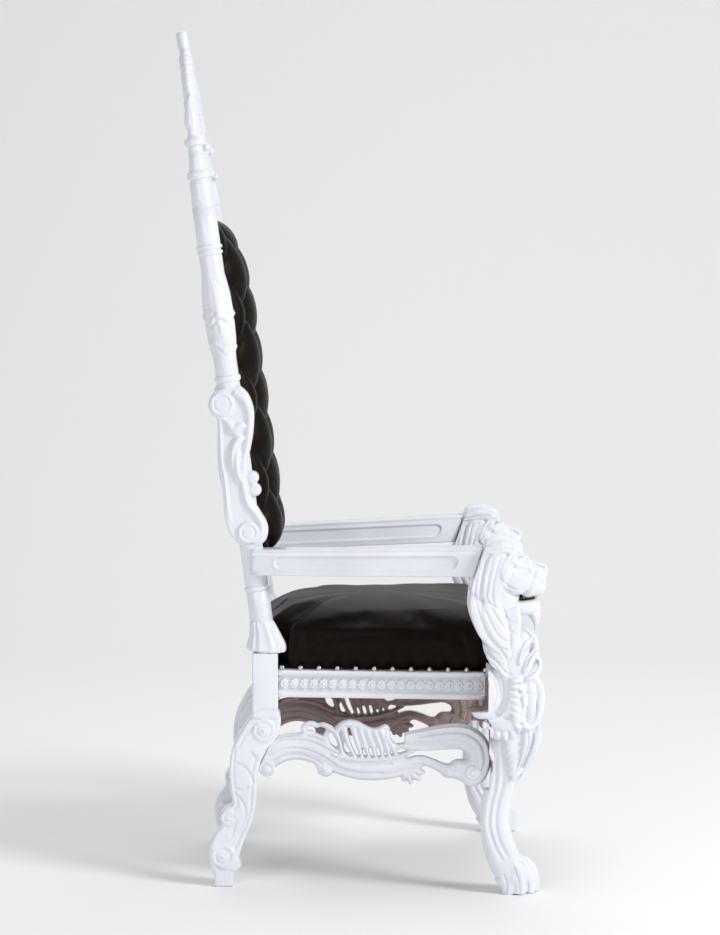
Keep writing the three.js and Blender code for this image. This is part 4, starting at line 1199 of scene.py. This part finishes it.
# ---------------------------------------------------------------- Black leather
# Coated black leather with a satin sheen, a fine pebble grain and faint stretch creases.
leather, tree = new_material("black_coated_leather")
place = add_node(tree, "ShaderNodeTexCoord").outputs["Object"]
grain = add_node(tree, "ShaderNodeTexVoronoi", {"Vector": place, "Scale": 620.0}, {"feature": "F1"})
crease = add_node(tree, "ShaderNodeTexNoise",
                  {"Vector": place, "Scale": 38.0, "Detail": 5.0, "Roughness": 0.6, "Distortion": 0.8})
mixed = add_node(tree, "ShaderNodeMath", {
    0: crease.outputs["Fac"], 1: 2.2, 2: grain.outputs["Distance"]}, {"operation": "MULTIPLY_ADD"})
bump = add_node(tree, "ShaderNodeBump",
                {"Height": mixed.outputs[0], "Strength": 0.35, "Distance": 0.0008})
tone = add_node(tree, "ShaderNodeValToRGB", {"Fac": crease.outputs["Fac"]})
tone.color_ramp.elements[0].position = 0.35
tone.color_ramp.elements[0].color = linear("#050404")
tone.color_ramp.elements[1].position = 0.75
tone.color_ramp.elements[1].color = linear("#0C0A09")
hide = add_node(tree, "ShaderNodeBsdfPrincipled", {
    "Base Color": tone.outputs["Color"], "Roughness": 0.4, "IOR": 1.5,
    "Specular IOR Level": 0.14, "Specular Tint": linear("#E2C3AA"),
    "Coat Weight": 0.03, "Coat Roughness": 0.3, "Normal": bump.outputs["Normal"],
})
add_node(tree, "ShaderNodeOutputMaterial", {"Surface": hide.outputs["BSDF"]})

# ---------------------------------------------------------------- Back cushion
# Foam on a panel between the posts under leather, drawn in by covered buttons set in
# diamonds, the leather folded along the lines between them and tacked behind.
HALF_ACROSS, PITCH_ACROSS, PITCH_UP, FIRST_UP = 197.0, 132.0, 182.0, 855.0
BACK_LOW, BACK_RISE = 700.4, 721.2


def diagonals(across, level):
    """Where a place lies on the two diagonal runs of creases, counted in creases."""
    return (across / PITCH_ACROSS + (level - FIRST_UP) / PITCH_UP,
            across / PITCH_ACROSS - (level - FIRST_UP) / PITCH_UP)


def off_crease(place):
    """How far a place on a run lies from a crease: 0 on it, 1 halfway between two."""
    return np.abs(place - np.round(place)) * 2


def tufted(across, level):
    """How far the leather stands in front of the posts' line: round pillows between creases
    that run both ways on the diagonal, deepest at the buttons, over a crown that falls
    away to the four edges."""
    one, other = diagonals(across, level)
    off_one, off_other = off_crease(one), off_crease(other)
    pillow = (1 - (1 - off_one) ** 2.4) * (1 - (1 - off_other) ** 2.4)
    fold = np.exp(-(off_one / 0.09) ** 2) + np.exp(-(off_other / 0.09) ** 2)
    button = np.exp(-(off_one ** 2 + off_other ** 2) / 0.05)
    along = np.clip((level - 700) / 722, 0, 1)
    rim = ((1 - np.abs(2 * along - 1) ** np.where(along < 0.5, 22, 5)) ** 0.5
           * (1 - np.abs(across / HALF_ACROSS) ** 5) ** 0.45)
    pucker = (1.2 * np.sin(one * 41) * np.exp(-off_other / 0.16)
              + 1.2 * np.sin(other * 41) * np.exp(-off_one / 0.16))
    return (55 + 22 * pillow - 5 * fold - 24 * button + pucker * (1 - button)) * rim


def cushion_rings(columns=170, rows=300):
    """Level rings of the cushion: its tufted face, and its flat back 18 mm behind the line."""
    level = BACK_LOW + BACK_RISE * (0.5 - 0.5 * np.cos(np.linspace(0, np.pi, rows)))
    level = 0.55 * level + 0.45 * np.linspace(BACK_LOW, BACK_LOW + BACK_RISE, rows)
    s = np.sin(np.linspace(-0.5, 0.5, columns) * np.pi) * 0.35 + np.linspace(-1, 1, columns) * 0.65
    across = s * HALF_ACROSS
    rings = np.empty((rows, columns + 2, 3))
    rings[:, :columns, 0] = tufted(across[None, :], level[:, None])
    rings[:, :columns, 1] = level[:, None]
    rings[:, :columns, 2] = across[None, :]
    for k, edge in ((columns, HALF_ACROSS), (columns + 1, -HALF_ACROSS)):
        rings[:, k] = np.stack([np.full(rows, -17.0), level, np.full(rows, edge)], -1)
    return rings


FRAMES = 20  # of cloth simulation


def swollen(piece, voxel, pressure, cap, fixed):
    """A pad's leather blown out by a pressure inside it, held where `fixed` says, no point
    moving more than `cap` millimetres."""
    remesh = piece.modifiers.new("even", "REMESH")
    remesh.mode = "VOXEL"
    remesh.voxel_size = voxel / 1000
    settle(piece)
    before = vertices(piece)[0]
    held = piece.vertex_groups.new(name="held")
    held.add(np.nonzero(fixed(before))[0].tolist(), 1.0, "REPLACE")
    cloth = piece.modifiers.new("cloth", "CLOTH")
    cloth.settings.vertex_group_mass = "held"
    cloth.settings.use_pressure = True
    cloth.settings.uniform_pressure_force = pressure
    cloth.settings.effector_weights.gravity = 0
    cloth.settings.quality = 5
    cloth.settings.tension_stiffness = 40
    cloth.settings.compression_stiffness = 20
    cloth.settings.bending_stiffness = 6
    cloth.point_cache.frame_start, cloth.point_cache.frame_end = 1, FRAMES
    for moment in range(1, FRAMES + 1):
        bpy.context.scene.frame_set(moment)
    settle(piece)
    bpy.context.scene.frame_set(1)
    after = vertices(piece)[0]
    move = after - before
    length = np.linalg.norm(move, axis=1, keepdims=True)
    move *= np.minimum(length, cap) / np.maximum(length, 1e-6)
    piece.data.vertices.foreach_set("co", placed(before + move).ravel())
    piece.data.update()


def drawn_in(points):
    """True where the back's leather is tacked behind, or pulled in by a button or a pleat."""
    f, z, out = points.T
    ahead, rise = f - POST_FOOT, z - BLOCK_TOP
    forward = ahead * math.cos(LEAN) + rise * math.sin(LEAN)
    level = BLOCK_TOP + (rise * math.cos(LEAN) - ahead * math.sin(LEAN)) * math.cos(LEAN)
    one, other = (off_crease(place) for place in diagonals(out, level))
    return (forward < 12) | (np.minimum(one, other) < 0.07) | (np.hypot(one, other) < 0.22)


points, faces = closed_tube(cushion_rings())
back = joined("back_cushion_tufted", [(leaning(points), faces)], leather)
swollen(back, 4.5, 2.5, 7.0, drawn_in)
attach(back, "root")
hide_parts("back_cushion")

buttons = []
for i in range(-4, 5):
    for j in range(-4, 5):
        across, level = (i + j) * PITCH_ACROSS / 2, FIRST_UP + (i - j) * PITCH_UP / 2
        if abs(across) < HALF_ACROSS - 22 and 735 < level < 1390:
            front = float(tufted(np.array(across), np.array(level)))
            points, faces = ball((front + 1.0, level, across), (5, 11, 11))
            buttons.append((leaning(points), faces))
buttons = joined("back_buttons", buttons, leather)
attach(buttons, "root")

# ---------------------------------------------------------------- Seat cushion
# Webbing and deep foam on the seat frame under leather, crowned in the middle, notched
# round the back posts and pulled down to the rails by a row of nickel nails.
seat_plan = np.array([
    (0, -208), (90, -208), (168, -206), (182, -198), (184, -176), (188, -154), (206, -147), (238, -145),
    (246, -124), (252, -60), (262, 40), (272, 150), (280, 236), (284, 292), (281, 318), (264, 330),
    (150, 334), (0, 335),
], float)


SEAT_LOW, SHOULDER, CROWN = 469, 550, 47  # the nailed edge, the shoulder, the rise over it
SIDE = 0.42  # share of the rings that stand up the side


def seat_rings(rows=110, columns=420):
    """Rings from the nailed edge up over the shoulder to the crown: each is the plan drawn
    in towards its middle by a superellipse, with soft puckers above every nail."""
    right = curve(seat_plan, columns // 2 + 1)
    outline = np.vstack([right, right[-2:0:-1] * (-1, 1)])
    t = np.linspace(0, 1, rows)
    turn = np.clip((t - SIDE) / (1 - SIDE), 0, 1) * np.pi / 2
    level = np.where(t < SIDE, SEAT_LOW + (SHOULDER - SEAT_LOW) * t / SIDE,
                     SHOULDER + CROWN * np.sin(turn) ** 1.1)
    draw = np.where(t < SIDE, 1 - 0.012 * (t / SIDE) ** 2, 0.988 * np.cos(turn) ** 0.72)
    bulge = 1 + 0.018 * np.sin(np.pi * np.clip(t / 0.6, 0, 1))
    middle = np.array([0.0, 62.0])
    spread = (outline - middle)[None] * (draw * bulge)[:, None, None] + middle
    rings = np.empty((rows, len(outline), 3))
    rings[..., 0] = spread[..., 1]
    rings[..., 2] = spread[..., 0]
    rings[..., 1] = level[:, None]
    step = np.cumsum(np.r_[0, np.linalg.norm(np.diff(outline, axis=0), axis=1)])
    wave = np.cos(2 * np.pi * (outline[:, 1] + 163) / 39.2)
    side = np.clip((np.abs(outline[:, 0]) - 236) / 14, 0, 1)
    front = np.clip((outline[:, 1] - 322) / 10, 0, 1)
    wave = wave * side + np.cos(2 * np.pi * outline[:, 0] / 40) * front
    fade = np.exp(-((level - SEAT_LOW) / 30) ** 2)
    pull = 3.0 * (wave[None] + 0.4) * fade[:, None] + 3.2 * np.exp(-((level - SEAT_LOW) / 9) ** 2)[:, None]
    outward = unit(outline - middle)
    rings[..., 0] -= outward[:, 1] * pull
    rings[..., 2] -= outward[:, 0] * pull
    drift = 1.4 * np.sin(step / 61 + level[:, None] / 37) + 0.9 * np.sin(step / 23 - level[:, None] / 19)
    rings[..., 1] += drift * np.clip((level[:, None] - 540) / 30, 0, 1) * draw[:, None]
    return rings


seat = joined("seat_cushion_crowned", [closed_tube(seat_rings())], leather)
swollen(seat, 6.0, 3.0, 10.0, lambda points: points[:, 1] < 484)
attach(seat, "root")
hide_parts("seat_cushion")

# ---------------------------------------------------------------- Nail heads
# Domed nickel-plated upholstery nails driven through the leather's edge into the rails.
nickel, tree = new_material("polished_nickel_plate")
metal = add_node(tree, "ShaderNodeBsdfPrincipled", {
    "Base Color": linear("#C9C7C3"), "Metallic": 1.0, "Roughness": 0.18})
add_node(tree, "ShaderNodeOutputMaterial", {"Surface": metal.outputs["BSDF"]})

NAIL_LEVEL = 472.5
nails = []
for k in range(12):
    forward = -161 + 39.0 * k
    for side in (-1, 1):
        nails.append(ball((forward, NAIL_LEVEL, side * (rail_face(forward) - 2.0)), (5.4, 5.4, 4.6)))
for k in range(14):
    nails.append(ball((333.5, NAIL_LEVEL, 40 * (k - 6.5)), (4.6, 5.4, 5.4)))
nails = joined("nail_heads", nails, nickel)
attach(nails, "root")

# ---------------------------------------------------------------- Gilded mouths
# Teeth picked out in gold leaf, and painted shade inside each lion's open jaws: a near-black body filling the
# mouth.
gilding, tree = new_material("gold_leaf")
leaf = add_node(tree, "ShaderNodeBsdfPrincipled", {
    "Base Color": linear("#B98A2E"), "Metallic": 1.0, "Roughness": 0.32})
add_node(tree, "ShaderNodeOutputMaterial", {"Surface": leaf.outputs["BSDF"]})
mouth_shade, tree = new_material("black_painted_mouth_shade")
paint = add_node(tree, "ShaderNodeBsdfPrincipled", {"Base Color": linear("#15100F"), "Roughness": 0.6})
add_node(tree, "ShaderNodeOutputMaterial", {"Surface": paint.outputs["BSDF"]})

teeth, hollows = [], []
for side in (-1, 1):
    for k in range(6):
        forward = 344 + 5.4 * k
        for across in (-1, 1):
            place_out = side * LION + across * (15.5 - 0.42 * k)
            teeth.append(ball((forward, 637 + 0.4 * k, place_out), (2.3, 3.6, 2.0)))
    # painted shade: a near-black ellipsoid filling the gap between the jaws
    hollows.append(ball((346, 634, side * LION), (24, 8, 15)))
teeth = joined("gilded_teeth", teeth, gilding)
hollows = joined("painted_mouth_shades", hollows, mouth_shade)
for piece in (teeth, hollows):
    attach(piece, "root")

# ---------------------------------------------------------------- Dust cloth
# Black cotton in a plain weave, cut to the opening between the rails and tacked tight under
# the seat, so that only its middle hangs a little.
CLOTH_REAR, CLOTH_FRONT, CLOTH_HALF, CLOTH_LEVEL, CLOTH_THICK, SAG = -183.0, 290.0, 218.0, 412.0, 1.2, 3.5
THREAD_SCALE = 390.0  # one thread to each 0.8 mm

cloth, tree = new_material("black_dust_cloth")
place = add_node(tree, "ShaderNodeTexCoord").outputs["Object"]
warp, weft = (add_node(tree, "ShaderNodeTexWave",
                       {"Vector": place, "Scale": THREAD_SCALE, "Distortion": 0.5},
                       {"bands_direction": way}) for way in "XY")
thread = add_node(tree, "ShaderNodeMath", {0: warp.outputs["Fac"], 1: weft.outputs["Fac"]},
                  {"operation": "MAXIMUM"})
bump = add_node(tree, "ShaderNodeBump",
                {"Height": thread.outputs[0], "Strength": 0.4, "Distance": 0.0003})
tone = add_node(tree, "ShaderNodeValToRGB", {"Fac": thread.outputs[0]})
tone.color_ramp.elements[0].color = linear("#0E0D0D")
tone.color_ramp.elements[1].color = linear("#1A1818")
cotton = add_node(tree, "ShaderNodeBsdfPrincipled", {
    "Base Color": tone.outputs["Color"], "Roughness": 0.9, "Sheen Weight": 0.15,
    "Normal": bump.outputs["Normal"]})
add_node(tree, "ShaderNodeOutputMaterial", {"Surface": cotton.outputs["BSDF"]})

along = np.linspace(CLOTH_REAR, CLOTH_FRONT, 30)[:, None]
side_to_side = np.linspace(-CLOTH_HALF, CLOTH_HALF, 28)[None, :]
middle = (CLOTH_REAR + CLOTH_FRONT) / 2
bow = (1 - ((along - middle) / (CLOTH_FRONT - middle)) ** 2) * (1 - (side_to_side / CLOTH_HALF) ** 2)
under = np.stack(np.broadcast_arrays(along, CLOTH_LEVEL - CLOTH_THICK - SAG * bow, side_to_side), -1)
dust = joined("dust_cloth_under_seat", [closed_tube(np.concatenate(
    [under, under[:, ::-1] + (0, CLOTH_THICK, 0)], axis=1))], cloth)
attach(dust, "root")
